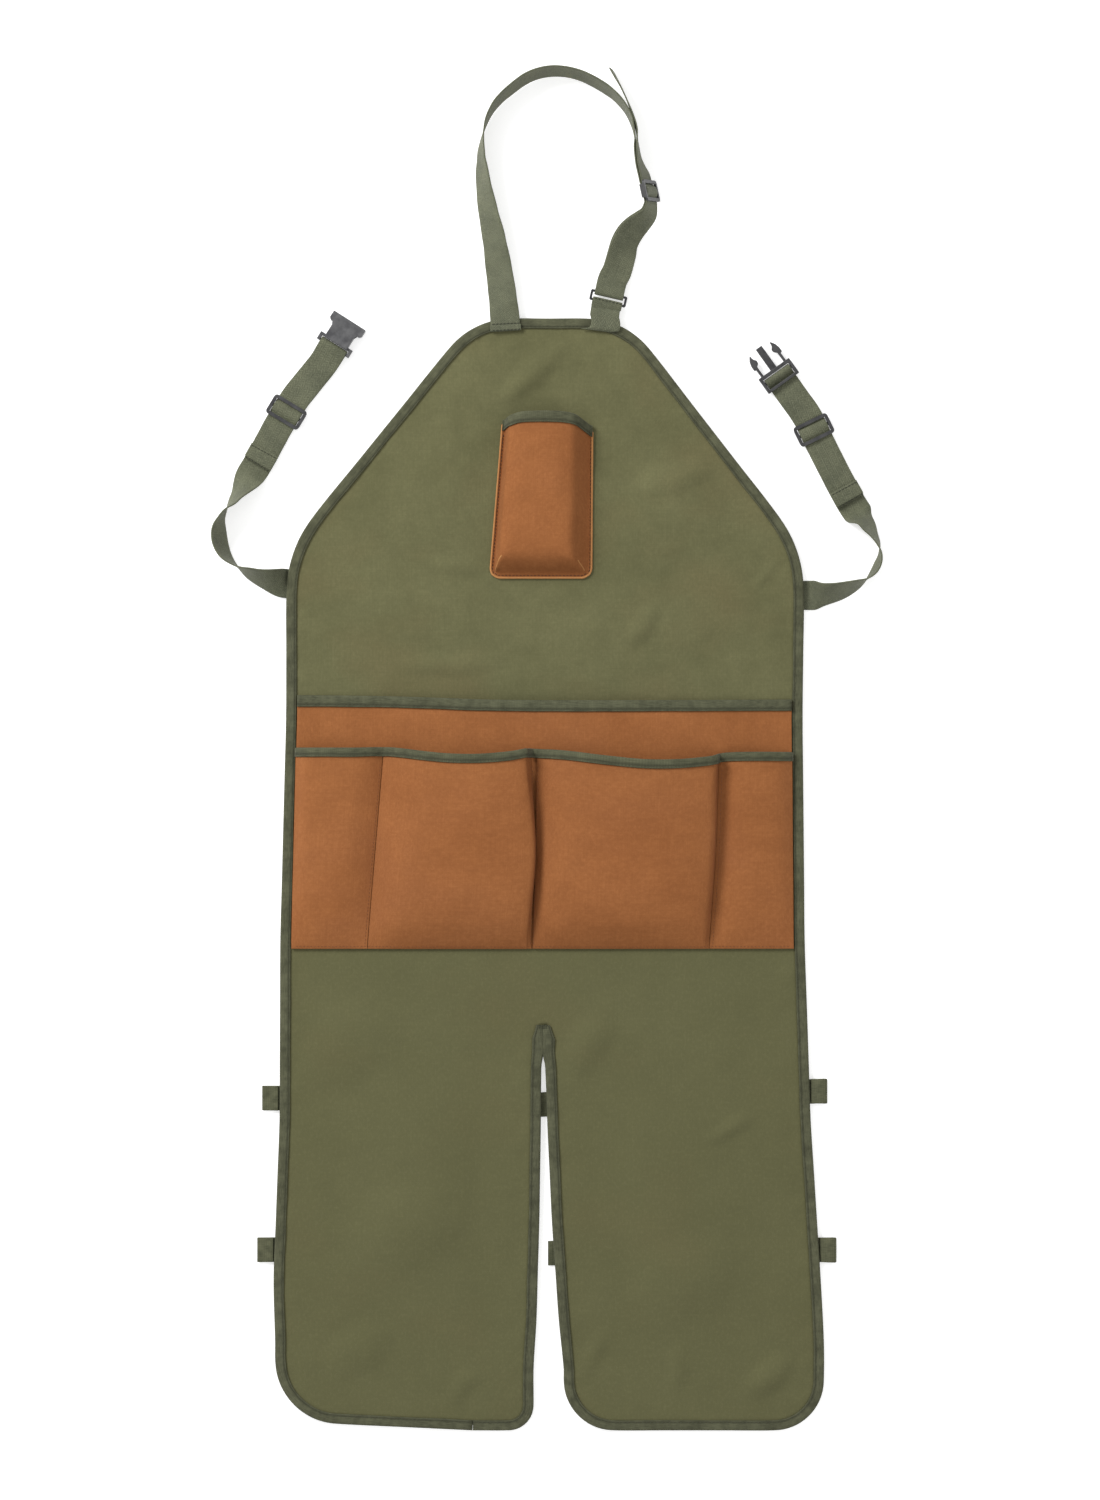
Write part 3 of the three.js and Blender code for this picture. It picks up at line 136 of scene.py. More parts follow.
class Finish:
    """A material made of nodes. Constants are set on the shader's own sockets."""

    def __init__(self, name, **constants):
        self.material = bpy.data.materials.new(name)
        self.material.use_nodes = True
        self.tree = self.material.node_tree
        self.shader = self.tree.nodes["Principled BSDF"]
        for socket, value in constants.items():
            self.shader.inputs[socket.replace("_", " ")].default_value = value

    def node(self, kind, settings=None, inputs=None, output=0):
        made = self.tree.nodes.new("ShaderNode" + kind)
        for name, setting in (settings or {}).items():
            setattr(made, name, setting)
        for name, value in (inputs or {}).items():
            self.feed(made.inputs[name], value)
        return Value(self, made.outputs[output])

    def feed(self, socket, value):
        if isinstance(value, Value):
            self.tree.links.new(value.socket, socket)
        else:
            socket.default_value = value

    def shade(self, **values):
        for socket, value in values.items():
            self.feed(self.shader.inputs[socket.replace("_", " ")], value)

    def mix(self, share, first, second):
        settings = {"data_type": "RGBA", "blend_type": "MIX", "clamp_factor": True}
        return self.node("Mix", settings, {0: share, 6: first, 7: second}, output=2)

    def noise(self, place, scale, detail=2.0, roughness=0.5):
        inputs = {"Vector": place, "Scale": scale, "Detail": detail, "Roughness": roughness}
        return self.node("TexNoise", None, inputs)

    def stretched(self, place, x, y):
        return self.node("Mapping", None, {"Vector": place, "Scale": (x, y, 1.0)})

    def spread(self, value, low, high, to_low=0.0, to_high=1.0):
        inputs = {0: value, 1: low, 2: high, 3: to_low, 4: to_high}
        return self.node("MapRange", None, inputs)

    def bump(self, height, distance, strength, under=None):
        inputs = {"Height": height, "Distance": distance, "Strength": strength}
        if under is not None:
            inputs["Normal"] = under
        return self.node("Bump", None, inputs)


def screen(red, green, blue):
    """A colour as a screen shows it, 0 to 255, in the shader's linear numbers."""
    parts = [part / 255 for part in (red, green, blue)]
    return tuple(((part + 0.055) / 1.055) ** 2.4 for part in parts) + (1.0,)


print("shader helpers ready")

# %% [markdown]
# ## Canvas
# Both canvases are plain weaves: each thread goes over one and under the next. Seen from near
# by that is a fine chequer of bumps, and from far off only the uneven threads still show, as
# faint streaks both ways, with broad cloudy patches where the dye took more or less. The
# pattern follows the cloth's own UV map, which is in metres, so it bends with each fold.


# %% Canvas finish
def cloth_place(finish):
    return finish.node("UVMap", {"uv_map": "cloth"})


def canvas(name, colours, faded, thread, cloudy, rough, sheen, deep=(0.0, 0.0, 0.0)):
    """A plain weave. Colours are the dark, the middle and the light one of its dye, and faded
    is the tint of its worn patches. Deep is the share of the dark one beyond two lengths."""
    finish = Finish(name, Sheen_Weight=sheen, Sheen_Roughness=0.6, Specular_IOR_Level=0.14)
    place = cloth_place(finish)
    across = finish.node("SeparateXYZ", None, {0: place})
    along = across.other(1)
    step = math.pi / thread
    chequer = (across * step).sine() * (along * step).sine()
    warp = finish.noise(finish.stretched(place, 1 / thread, 30), 1.0, 2.0)
    weft = finish.noise(finish.stretched(place, 30, 1 / thread), 1.0, 2.0)
    streaks = warp * 0.5 + weft * 0.5
    clouds = finish.noise(place, 16.0, 4.0, 0.62)
    blotches = finish.noise(place, 75.0, 3.0, 0.6)
    dark, middle, light = colours
    tone = finish.spread(clouds * 0.65 + blotches * 0.35, 0.36, 0.64)
    colour = finish.mix(tone, dark, light)
    colour = finish.mix(1.0 - cloudy, colour, middle)
    patches = finish.noise(finish.stretched(place, 7, 9), 1.0, 3.0, 0.55)
    colour = finish.mix(finish.spread(patches, 0.5, 0.68, 0.0, 0.5), colour, faded)
    colour = finish.mix(finish.spread(along, deep[0], deep[1], deep[2], 0.0), colour, dark)
    slubs = finish.noise(finish.stretched(place, 420, 300), 1.0, 3.0, 0.7)
    colour = finish.mix(finish.spread(slubs, 0.38, 0.7, 0.0, 0.4), colour, dark)
    colour = finish.mix(finish.spread(slubs, 0.3, 0.5, 0.22, 0.0), colour, light)
    colour = finish.mix(finish.spread(streaks, 0.35, 0.65, 0.0, 0.34), colour, dark)
    colour = finish.mix(finish.spread(chequer, -1.0, 1.0, 0.16, 0.0), colour, dark)
    uneven = finish.noise(place, 900.0, 2.0)
    relief = chequer * 0.5 + streaks * 2.2 + uneven * 0.6 + slubs * 1.4
    fine = finish.bump(relief, thread * 0.2, 0.8)
    soft = finish.noise(place, 42.0, 3.0, 0.55)
    normal = finish.bump(soft, 0.0016, 0.35, fine)
    roughness = finish.spread(blotches, 0.3, 0.7, rough - 0.06, rough + 0.05)
    finish.shade(Base_Color=colour, Roughness=roughness, Normal=normal)
    return finish.material


green_canvas = canvas(
    "green canvas",
    (screen(88, 87, 58), screen(101, 100, 68), screen(115, 113, 80)), screen(108, 96, 65),
    thread=0.00062, cloudy=0.6, rough=0.86, sheen=0.05, deep=(0.4, 0.6, 0.62),
)
brown_canvas = canvas(
    "brown canvas",
    (screen(129, 78, 42), screen(152, 96, 54), screen(170, 111, 67)), screen(146, 93, 58),
    thread=0.00056, cloudy=0.5, rough=0.84, sheen=0.01,
)
# A paler copy of the brown canvas: a painted highlight on the chest pocket's raised rim and mitre
# seams.
lit_brown_cord = canvas(
    "brown cord",
    (screen(164, 112, 66), screen(184, 130, 80), screen(200, 148, 96)), screen(176, 124, 78),
    thread=0.00056, cloudy=0.5, rough=0.8, sheen=0.01,
)
print("canvas threads are 0.62 mm and 0.56 mm apart")

# %% [markdown]
# ## Tape and webbing
# The binding is a thin grosgrain tape, with fine ribs across it. The webbing is a thick
# herringbone: its threads run in a zigzag of slanting lines, and a firm edge closes each side.
# Both are drawn in the strip's own UV map, where U runs across and V along it, so the ribs turn
# with each bend.


# %% Tape and webbing finishes
def tape(name, dark, light, rib, seam=0.0):
    """Grosgrain. Seam is how far from its first rim it is drawn in by a row of thread. A painted
    shade line darkens the tape along that seam and along its first rim.
    """
    finish = Finish(name, Sheen_Weight=0.06, Sheen_Roughness=0.5, Specular_IOR_Level=0.2)
    place = cloth_place(finish)
    across = finish.node("SeparateXYZ", None, {0: place})
    along = across.other(1)
    ribs = (along * (2 * math.pi / rib)).sine()
    worn = finish.noise(place, 90.0, 3.0, 0.6)
    threads = finish.noise(finish.stretched(place, 1800, 160), 1.0, 2.0)
    tone = finish.spread(worn * 0.6 + threads * 0.4, 0.38, 0.62)
    colour = finish.mix(tone, dark, light)
    colour = finish.mix(finish.spread(ribs, -1.0, 1.0, 0.3, 0.0), colour, dark)
    # Painted shade: a dark line in the seam's groove and another at the first rim, where the tape
    # meets the canvas.
    if seam:
        from_seam = (across - seam).zigzag(0.05)
        deep = tuple(part * 0.4 for part in dark[:3]) + (1.0,)
        colour = finish.mix(finish.spread(from_seam, 0.0, 0.0013, 0.6, 0.0), colour, deep)
        colour = finish.mix(finish.spread(across, 0.0, 0.0012, 0.6, 0.0), colour, deep)
    normal = finish.bump(ribs * 0.5 + threads * 1.2, 0.00012, 0.8)
    finish.shade(Base_Color=colour, Roughness=finish.spread(worn, 0.3, 0.7, 0.74, 0.9),
                 Normal=normal)
    return finish.material


def herringbone(name, dark, light, width, zigzags, pitch):
    """Slanting lines a pitch apart that turn at each zigzag across the width, in metres."""
    finish = Finish(name, Sheen_Weight=0.08, Sheen_Roughness=0.45, Specular_IOR_Level=0.25)
    place = cloth_place(finish)
    across = finish.node("SeparateXYZ", None, {0: place})
    along = across.other(1)
    slant = across.zigzag(width / zigzags)
    lines = ((along + slant) * (2 * math.pi / pitch)).sine()
    columns = finish.spread(slant, 0.0, width / zigzags * 0.16)
    worn = finish.noise(place, 60.0, 3.0, 0.6)
    threads = finish.noise(finish.stretched(place, 900, 500), 1.0, 2.0)
    colour = finish.mix(finish.spread(worn * 0.5 + threads * 0.5, 0.36, 0.64), dark, light)
    colour = finish.mix(finish.spread(lines, -1.0, 0.6, 0.75, 0.0), colour, dark)
    colour = finish.mix(0.35 - columns * 0.35, colour, dark)
    height = finish.spread(lines, -1.0, 1.0) * columns
    normal = finish.bump(height + threads * 0.6, 0.0003, 0.8)
    finish.shade(Base_Color=colour, Roughness=finish.spread(worn, 0.3, 0.7, 0.66, 0.82),
                 Normal=normal)
    return finish.material


green_tape = tape("green tape", screen(66, 67, 49), screen(94, 95, 73), rib=0.0011, seam=0.0029)
webbing = herringbone(
    "webbing", screen(79, 82, 64), screen(116, 118, 95), width=0.025, zigzags=8, pitch=0.0019
)
elastic = tape("elastic", screen(64, 66, 48), screen(96, 97, 74), rib=0.0015)
print("tape ribs 1.1 mm, webbing lines 1.9 mm apart")

# %% [markdown]
# ## Thread, plastic and wire
# The thread is polyester, a little glossier than the cloth that it holds. The buckle's socket is
# moulded in grey plastic with a fine spark-eroded grain, its plug and the sliders in a darker one,
# and the ring is bent from painted wire. Their patterns read Object coordinates, because the
# pieces have no UV map.


# %% Thread, plastic and wire finishes
def object_place(finish):
    return finish.node("TexCoord", None, None, output=3)


def thread_finish(name, dark, light):
    finish = Finish(name, Specular_IOR_Level=0.4)
    fibres = finish.noise(object_place(finish), 2600.0, 2.0)
    colour = finish.mix(finish.spread(fibres, 0.3, 0.7), dark, light)
    finish.shade(Base_Color=colour, Roughness=finish.spread(fibres, 0.3, 0.7, 0.5, 0.7),
                 Normal=finish.bump(fibres, 0.0001, 0.5))
    return finish.material


def moulded(name, dark, light, grain, rough, **constants):
    finish = Finish(name, **constants)
    place = object_place(finish)
    pits = finish.noise(place, grain, 2.0)
    rubbed = finish.noise(place, 120.0, 3.0, 0.6)
    colour = finish.mix(finish.spread(rubbed, 0.35, 0.65), dark, light)
    roughness = finish.spread(rubbed, 0.3, 0.7, rough - 0.06, rough + 0.08)
    finish.shade(Base_Color=colour, Roughness=roughness, Normal=finish.bump(pits, 0.00006, 0.7))
    return finish.material


green_thread = thread_finish("green thread", screen(48, 50, 33), screen(76, 78, 55))
# Darker than the green thread, so that its thick rows across the straps are stitching and also
# painted shade: the dark line at each hem's edge.
hem_thread_and_shade = thread_finish("hem thread", screen(34, 36, 25), screen(56, 58, 42))
brown_thread = thread_finish("brown thread", screen(92, 52, 28), screen(128, 78, 46))
# Darker than the brown thread: it is the chest pocket's stitching and also painted shade in the
# groove inside its rim.
thread_and_groove_shade = thread_finish("deep brown thread", screen(62, 34, 16), screen(92, 54, 29))
grey_plastic = moulded("grey plastic", screen(62, 62, 64), screen(88, 88, 89), 3200.0, 0.42)
dark_plastic = moulded("dark plastic", screen(42, 42, 43), screen(62, 62, 63), 3200.0, 0.44)
black_wire = moulded("black wire", screen(22, 22, 24), screen(40, 40, 43), 1500.0, 0.38,
                     Coat_Weight=0.3)
print("finishes:", len(bpy.data.materials))

# %% [markdown]
# ## Making cloth
# A sheet of cloth starts as a flat grid with a UV map in metres. Every point of the grid is then
# moved to its place in the sewn apron, and a Solidify modifier gives the sheet its thickness. A
# subdivided plane could be sculpted instead, but a place worked out for each point keeps the
# cloth on the CAD solid that it replaces.


# %% Cloth helpers
def evenly(width, length):
    """The flat place, in millimetres, of a point of a plain rectangular cut."""
    return lambda across, along: (across * width, along * length)


def cloth_grid(columns, rows, spot, flat):
    """A grid with its points at spot(u, v), and its UV map at flat(u, v), in millimetres."""
    mesh = bmesh.new()
    bmesh.ops.create_grid(mesh, x_segments=columns, y_segments=rows, size=0.5)
    layer = mesh.loops.layers.uv.new("cloth")
    for face in mesh.faces:
        face.smooth = True
        for loop in face.loops:
            place = flat(loop.vert.co.x + 0.5, loop.vert.co.y + 0.5)
            loop[layer].uv = (place[0] * MM, place[1] * MM)
    for vert in mesh.verts:
        vert.co = Vector(spot(vert.co.x + 0.5, vert.co.y + 0.5)) * MM
    return mesh


def add_piece(name, mesh, material, nodes=()):
    """Makes a bmesh a piece of the apron that stands for some CAD nodes."""
    data = bpy.data.meshes.new(name)
    mesh.to_mesh(data)
    mesh.free()
    data.materials.append(material)
    piece = bpy.data.objects.new(name, data)
    bpy.context.scene.collection.objects.link(piece)
    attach(piece, "root")
    if nodes:
        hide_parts(*nodes)
    return piece


def give_thickness(piece, thickness, rounded=0.0):
    """Solidify in millimetres, both ways from the sheet, with its rim rounded if asked."""
    solid = piece.modifiers.new("thickness", "SOLIDIFY")
    solid.thickness = thickness * MM
    solid.offset = 0
    if rounded:
        bevel = piece.modifiers.new("rim", "BEVEL")
        bevel.width = rounded * MM
        bevel.segments = 2
        bevel.limit_method = "ANGLE"
        bevel.angle_limit = math.radians(50)


def wave(x, y, size, seed):
    """Soft noise from about -1 to 1 whose swells are about size millimetres apart."""
    return noise.noise(Vector((x / size, y / size, seed)))


def ease(share):
    share = min(max(share, 0.0), 1.0)
    return share * share * (3 - 2 * share)


def blend(first, second, share):
    return first + (second - first) * share


def curve_at(places, values, at):
    """A smooth curve through values at rising places, read at one place."""
    last = len(places) - 1
    low = max(index for index in range(last) if index == 0 or places[index] <= at)
    gap = places[low + 1] - places[low]
    share = min(max((at - places[low]) / gap, 0.0), 1.0)

    def slope(index):
        before, after = max(index - 1, 0), min(index + 1, last)
        return (values[after] - values[before]) / (places[after] - places[before]) * gap

    rest = 1 - share
    return (
        values[low] * rest * rest * (1 + 2 * share)
        + values[low + 1] * share * share * (1 + 2 * rest)
        + slope(low) * share * rest * rest
        - slope(low + 1) * rest * share * share
    )


def add_stitches(mesh, run, pitch=3.2, length=2.2, thick=0.45):
    """Sews along a run of (place, up) in millimetres: a rounded thread for each stitch."""
    left = pitch / 2
    made = 0
    for (start, up), (end, _) in zip(run, run[1:]):
        way = end - start
        reach = way.length
        if reach < 1e-6:
            continue
        way = way / reach
        side = up.cross(way).normalized()
        over = way.cross(side).normalized()
        turn = Matrix((way, side, over)).transposed().to_4x4()
        while left <= reach:
            middle = (start + way * left) * MM
            size = Matrix.Diagonal((length / 2 * MM, thick / 2 * MM, thick / 2 * MM, 1))
            place = Matrix.Translation(middle) @ turn @ size
            bmesh.ops.create_icosphere(mesh, subdivisions=1, radius=1, matrix=place)
            made += 1
            left += pitch
        left -= reach
    return made


def merged_copy(node):
    """A CAD node's mesh with its loose triangles joined at their corners."""
    mesh = bmesh.new()
    mesh.from_mesh(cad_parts[node].data)
    bmesh.ops.remove_doubles(mesh, verts=mesh.verts, dist=0.00001)
    return mesh


def surface_of(node):
    mesh = merged_copy(node)
    tree = BVHTree.FromBMesh(mesh)
    mesh.free()
    return tree


def height_under(tree, x, y):
    """Where a plumb line at x, y meets a surface from above, in millimetres, or None."""
    hit = tree.ray_cast(Vector((x * MM, y * MM, 1.0)), Vector((0, 0, -1)))[0]
    return None if hit is None else hit.z / MM


print("cloth helpers ready")

# %% [markdown]
# ## The apron's edge
# The CAD binding is one long folded tape. Its top face has an outer row of corners, on the
# apron's outline, and an inner row over the canvas. A plumb line from an outer corner misses
# the canvas, which tells the two rows apart. Walking from corner to corner gives the outline in
# order, from the tape's joint in the left leg's hem and back to it.


# %% Walk round the edge
def walk_edge():
    canvas_tree = surface_of("main_panel")
    mesh = merged_copy("edge_binding")
    top = max(vert.co.z for vert in mesh.verts)
    upper = [vert for vert in mesh.verts if vert.co.z > top - 0.0004]
    outer = {v for v in upper if height_under(canvas_tree, v.co.x / MM, v.co.y / MM) is None}
    inner = set(upper) - outer

    def linked(vert, group):
        others = [edge.other_vert(vert) for edge in vert.link_edges]
        return [other for other in others if other in group]

    ends = [vert for vert in outer if len(linked(vert, outer)) == 1]
    walk = [min(ends, key=lambda vert: vert.co.x)]
    print("outer corners", len(outer), "inner", len(inner), "ends", len(ends))
    while True:
        onward = [vert for vert in linked(walk[-1], outer) if vert not in walk[-2:]]
        if not onward:
            break
        walk.append(onward[0])
    rows = []
    for vert in walk:
        near = min(linked(vert, inner), key=lambda other: (other.co - vert.co).length)
        rows.append((vert.co.xy / MM, near.co.xy / MM))
    mesh.free()
    return rows


edge_rows = walk_edge()
edge_length = sum((b[0] - a[0]).length for a, b in zip(edge_rows, edge_rows[1:]))
print("edge rows", len(edge_rows), "length in mm", round(edge_length))

# %% [markdown]
# The pockets reach from tape to tape, so they need to know where the apron's two sides are at
# any height. The sides are the parts of the outline that lie farthest out.


# %% Where the sides are
def side_at(y, side):
    """The apron's outermost x on one side, -1 or 1, at a height y."""
    found = []
    for (start, _), (end, _) in zip(edge_rows, edge_rows[1:]):
        low, high = sorted((start.y, end.y))
        if low <= y < high:
            found.append(start.x + (end.x - start.x) * (y - start.y) / (end.y - start.y))
    return side * max(side * x for x in found)


print("sides at the pockets' mouth:", round(side_at(40, -1), 1), round(side_at(40, 1), 1))

# %% [markdown]
# ## The green canvas
# This is one flat cut, stiff enough to lie almost smooth, with a few long soft folds where it
# was packed. A fine grid keeps the points inside the cut, takes the large folds from the CAD
# solid by plumb line, and smooths them. Small swells are then added, and fade out towards the
# tape and the pockets, where stitching holds the canvas flat. A cloth simulation would only
# flatten it, as it lies on a floor, so the folds are given one by one.

# %% Green canvas
edge_points = KDTree(len(edge_rows) * 8)
for index, ((start, _), (end, _)) in enumerate(zip(edge_rows, edge_rows[1:])):
    for part in range(8):
        edge_points.insert(start.lerp(end, part / 8).to_3d(), index * 8 + part)
edge_points.balance()


def inside_box(x, y, low_x, low_y, high_x, high_y, margin):
    """1 well inside a box and 0 outside it, with an eased margin."""
    room = min(x - low_x, high_x - x, y - low_y, high_y - y)
    return ease(room / margin + 0.5)


# The ground that the pockets cover: low x, low y, high x, high y
BODY_POCKETS, CHEST_POCKET = (-240, -174, 240, 50), (-52, 138, 44, 284)


def held_down(x, y):
    """How firmly the pockets, from 0 to 1, hold the canvas under them."""
    return max(inside_box(x, y, *BODY_POCKETS, 16), inside_box(x, y, *CHEST_POCKET, 12))


# Folds seen in the photograph: the middle, half the length, half the width, turn and height
CANVAS_FOLDS = [
    (-14, 313, 45, 14, 39, 3.6), (110, 226, 50, 16, 20, 3.2), (109, 190, 70, 50, 40, 3.6),
    (-80, 152, 38, 10, -5, 2.2), (78, 103, 26, 12, 60, 2.6), (-83, 70, 55, 12, 3, 2.2),
    (184, 150, 22, 5, 42, 1.5), (177, 139, 18, 4, 38, 1.2), (-170, -245, 60, 40, 30, 2.8),
    (-120, -400, 70, 45, 40, 3.6), (-162, -498, 40, 25, 35, 2.8), (-72, -532, 25, 12, 40, 2.0),
    (30, -250, 45, 22, 60, 2.8), (150, -316, 30, 9, 25, 2.2), (112, -445, 60, 45, 40, 3.6),
    (33, -509, 35, 12, 55, 2.2), (106, -516, 25, 12, 75, 2.2), (184, -524, 32, 16, 50, 3.6),
]


def fold_rise(x, y):
    rise = 0.0
    for middle_x, middle_y, long, wide, turn, height in CANVAS_FOLDS:
        turned = Matrix.Rotation(-math.radians(turn), 2) @ Vector((x - middle_x, y - middle_y))
        bent = turned.y + wave(turned.x, middle_y, long * 0.8, 2.9) * wide * 0.4
        far = math.hypot(turned.x / long, bent / wide)
        if far < 1:
            rise += height * (1 - far * far) ** 2
    return rise


def canvas_swell(x, y):
    near, _, room = edge_points.find(Vector((x, y, 0)))
    free = ease((room - 9) / 22) * (1 - held_down(x, y))
    broad = wave(x, y * 0.7, 95, 3.1) * 1.2
    drawn = wave(x * 0.5 + y * 0.35, y * 0.9, 42, 8.4) * 0.5
    fine = wave(x, y, 17, 5.2) * 0.12
    beside_tape = ease((room - 9) / 3) * ease((30 - room) / 18) * (1 - held_down(x, y))
    pucker = wave(near.x + near.y + room * 0.5, room * 0.4, 13, 7.7) * 0.9 * beside_tape
    return (broad + drawn + fine + fold_rise(x, y)) * free + pucker


CANVAS_PITCH = 3.4
LOST = -1000  # the height given to points that miss the canvas, until they are deleted
SMOOTHINGS = 8


def make_canvas():
    low, high = (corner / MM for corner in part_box("main_panel"))
    tree = surface_of("main_panel")
    width, length = high.x - low.x, high.y - low.y
    columns, rows = round(width / CANVAS_PITCH), round(length / CANVAS_PITCH)

    def spot(across, along):
        x, y = low.x + across * width, low.y + along * length
        top = height_under(tree, x, y)
        return (x, y, LOST if top is None else top - PANEL_CLOTH / 2)

    mesh = cloth_grid(columns, rows, spot, evenly(width, length))
    gone = [vert for vert in mesh.verts if vert.co.z < LOST / 2 * MM]
    bmesh.ops.delete(mesh, geom=gone, context="VERTS")
    for _ in range(SMOOTHINGS):
        bmesh.ops.smooth_vert(mesh, verts=mesh.verts, factor=0.5, use_axis_z=True)
    for vert in mesh.verts:
        vert.co.z += canvas_swell(vert.co.x / MM, vert.co.y / MM) * MM
    area = sum(face.calc_area() for face in mesh.faces)
    return mesh, width * MM, length * MM, area


mesh, panel_width, panel_length, panel_area = make_canvas()
green_panel = add_piece("green_panel", mesh, green_canvas, ["main_panel"])
give_thickness(green_panel, PANEL_CLOTH - 0.2)
print("canvas", round(panel_width, 3), "by", round(panel_length, 3), "m")
print("canvas area", round(panel_area, 3), "square metres")

# %% [markdown]
# ## The bound edge
# A tape is folded over the raw edge and sewn through all the layers near its inner rim. A curve
# with a bevel profile could make it, but it would twist at the tight corners of the slit. Here
# the folded section is laid across the apron's own edge rows, so its corners are mitred as the
# sewn ones are.

# %% Edge tape
TAPE_FRONT = PANEL_TOP + PLY + TAPE_CLOTH / 2
TAPE_BACK = PANEL_TOP - PANEL_CLOTH - PLY - TAPE_CLOTH / 2
TAPE_PITCH = 4.0  # between the tape's cross rows
# The folded section from the front rim to the back one: a share of the way in, and a height
TAPE_SECTION = [
    (1.0, TAPE_FRONT - 0.16), (0.94, TAPE_FRONT), (0.78, TAPE_FRONT + 0.02),
    (0.5, TAPE_FRONT + 0.06), (0.22, TAPE_FRONT + 0.02), (0.115, TAPE_FRONT - 0.2),
    (0.07, TAPE_FRONT - 0.75), (0.058, PANEL_MIDDLE), (0.07, TAPE_BACK + 0.75),
    (0.115, TAPE_BACK + 0.2), (0.22, TAPE_BACK), (0.6, TAPE_BACK), (1.0, TAPE_BACK),
]


def along_edge():
    """The outline's outer and inner places and how far along they are, evenly spaced."""
    far = [0.0]
    for (start, _), (end, _) in zip(edge_rows, edge_rows[1:]):
        far.append(far[-1] + (end - start).length)
    steps = round(far[-1] / TAPE_PITCH)
    columns = [[row[part][axis] for row in edge_rows] for part in (0, 1) for axis in (0, 1)]
    places = []
    for step in range(steps + 1):
        at = far[-1] * step / steps
        x, y, inner_x, inner_y = (curve_at(far, column, at) for column in columns)
        places.append((Vector((x, y)), Vector((inner_x, inner_y)), at))
    return places


print("corners of the tape's section:", len(TAPE_SECTION))

# %% [markdown]
# At the top of the slit the tape's two runs are pressed together and narrowed, and a short bar
# of close stitches holds them. The outline's own rows give the slit's top. The tape's rims are
# moved towards the slit's middle line near it, so no second piece has to be fitted there.

# %% The top of the slit
SLIT_HALF, SLIT_ROOF = 30, -200  # the slit's rows lie within this of the middle and below this
PRESSED_HALF, PRESSED_LENGTH, PRESSED_FADE = 9, 32, 14
PRESSED_LAP = 0.8  # how far each run of tape passes the slit's middle line
TOP_NARROWING, TOP_SHOULDER = 0.42, 11
TOP_REACH, TOP_REACH_LENGTH = 3.2, 7  # how far the tape reaches past the slit's last row
TACK_ROWS, TACK_HALF = (-2.2, -1.3, -0.4, 0.5), 4.2

slit_rows = [outer for outer, _ in edge_rows if abs(outer.x) < SLIT_HALF and outer.y < SLIT_ROOF]
highest = max(outer.y for outer in slit_rows)
top_rows = [outer for outer in slit_rows if outer.y > highest - 0.2]
slit_top = sum(top_rows, Vector((0, 0))) / len(top_rows)


def drawn_in(outer, inner):
    """The tape's two rims closer together near the top of the slit, where it is pressed flat."""
    down = slit_top.y - outer.y
    if abs(outer.x - slit_top.x) > PRESSED_HALF or not -2 < down < PRESSED_LENGTH + 8:
        return outer, inner
    shut = ease((PRESSED_LENGTH - down) / PRESSED_FADE)
    narrow = 1 - TOP_NARROWING * ease(1 - down / TOP_SHOULDER)
    side = math.copysign(PRESSED_LAP, inner.x - slit_top.x)
    over = TOP_REACH * ease(1 - down / TOP_REACH_LENGTH)
    outer = outer.lerp(Vector((slit_top.x - side, outer.y)), shut) + Vector((0, over))
    inner_x = slit_top.x + (inner.x - slit_top.x) * narrow
    return outer, Vector((inner_x, inner.y + over * 0.8))


print("the slit's top:", [round(value, 1) for value in slit_top])

# %% [markdown]
# The tape and its thread are made together, because the thread follows the tape's rise and fall.


# %% Sewn edge
def make_edge_tape():
    places = [(*drawn_in(outer, inner), at) for outer, inner, at in along_edge()]
    rows, columns = len(places) - 1, len(TAPE_SECTION) - 1
    thread = bmesh.new()
    run = []

    def spot(across, along):
        outer, inner, at = places[round(along * rows)]
        share, height = TAPE_SECTION[round(across * columns)]
        front = 1 if height > PANEL_MIDDLE else 0
        share *= 1 + 0.035 * wave(at, 0, 26, 1.5) * front
        height += front * (0.1 * wave(at, across * 9, 11, 6.1) + 0.12 * wave(at, 0, 40, 2.2))
        place = outer.lerp(inner, share)
        return (place.x, place.y, height)

    for outer, inner, at in places:
        place = outer.lerp(inner, 0.8 + 0.02 * wave(at, 0, 30, 4.4))
        level = TAPE_FRONT + TAPE_CLOTH / 2 + 0.05 + 0.12 * wave(at, 0, 40, 2.2)
        run.append((Vector((place.x, place.y, level)), Vector((0, 0, 1))))
    made = add_stitches(thread, run)
    level = TAPE_FRONT + TAPE_CLOTH / 2 + 0.1
    for down in TACK_ROWS:
        tack = [(Vector((slit_top.x + x, slit_top.y - down, level)), Vector((0, 0, 1)))
                for x in (-TACK_HALF, TACK_HALF)]
        made += add_stitches(thread, tack, pitch=1.9, length=2.0, thick=0.8)
    flat = evenly(TAPE_WIDTH * 2 + 3, places[-1][2])
    return cloth_grid(columns, rows, spot, flat), thread, made


mesh, thread, made = make_edge_tape()
edge_tape = add_piece("edge_tape", mesh, green_tape, ["edge_binding"])
give_thickness(edge_tape, 0.8)
edge_thread = add_piece("edge_thread", thread, green_thread)
print("edge stitches", made)

# %% [markdown]
# ## Pocket patterns
# Each body pocket is read from a table of columns across it and rows up it, the same as in the
# CAD source. The CAD solid joins them by straight facets, and here a smooth curve runs through
# the same numbers. The back pocket bulges softly under the front ones. Two of the front pockets
# are bellows, with cloth to spare that is tucked under at the seams and stands up in between.

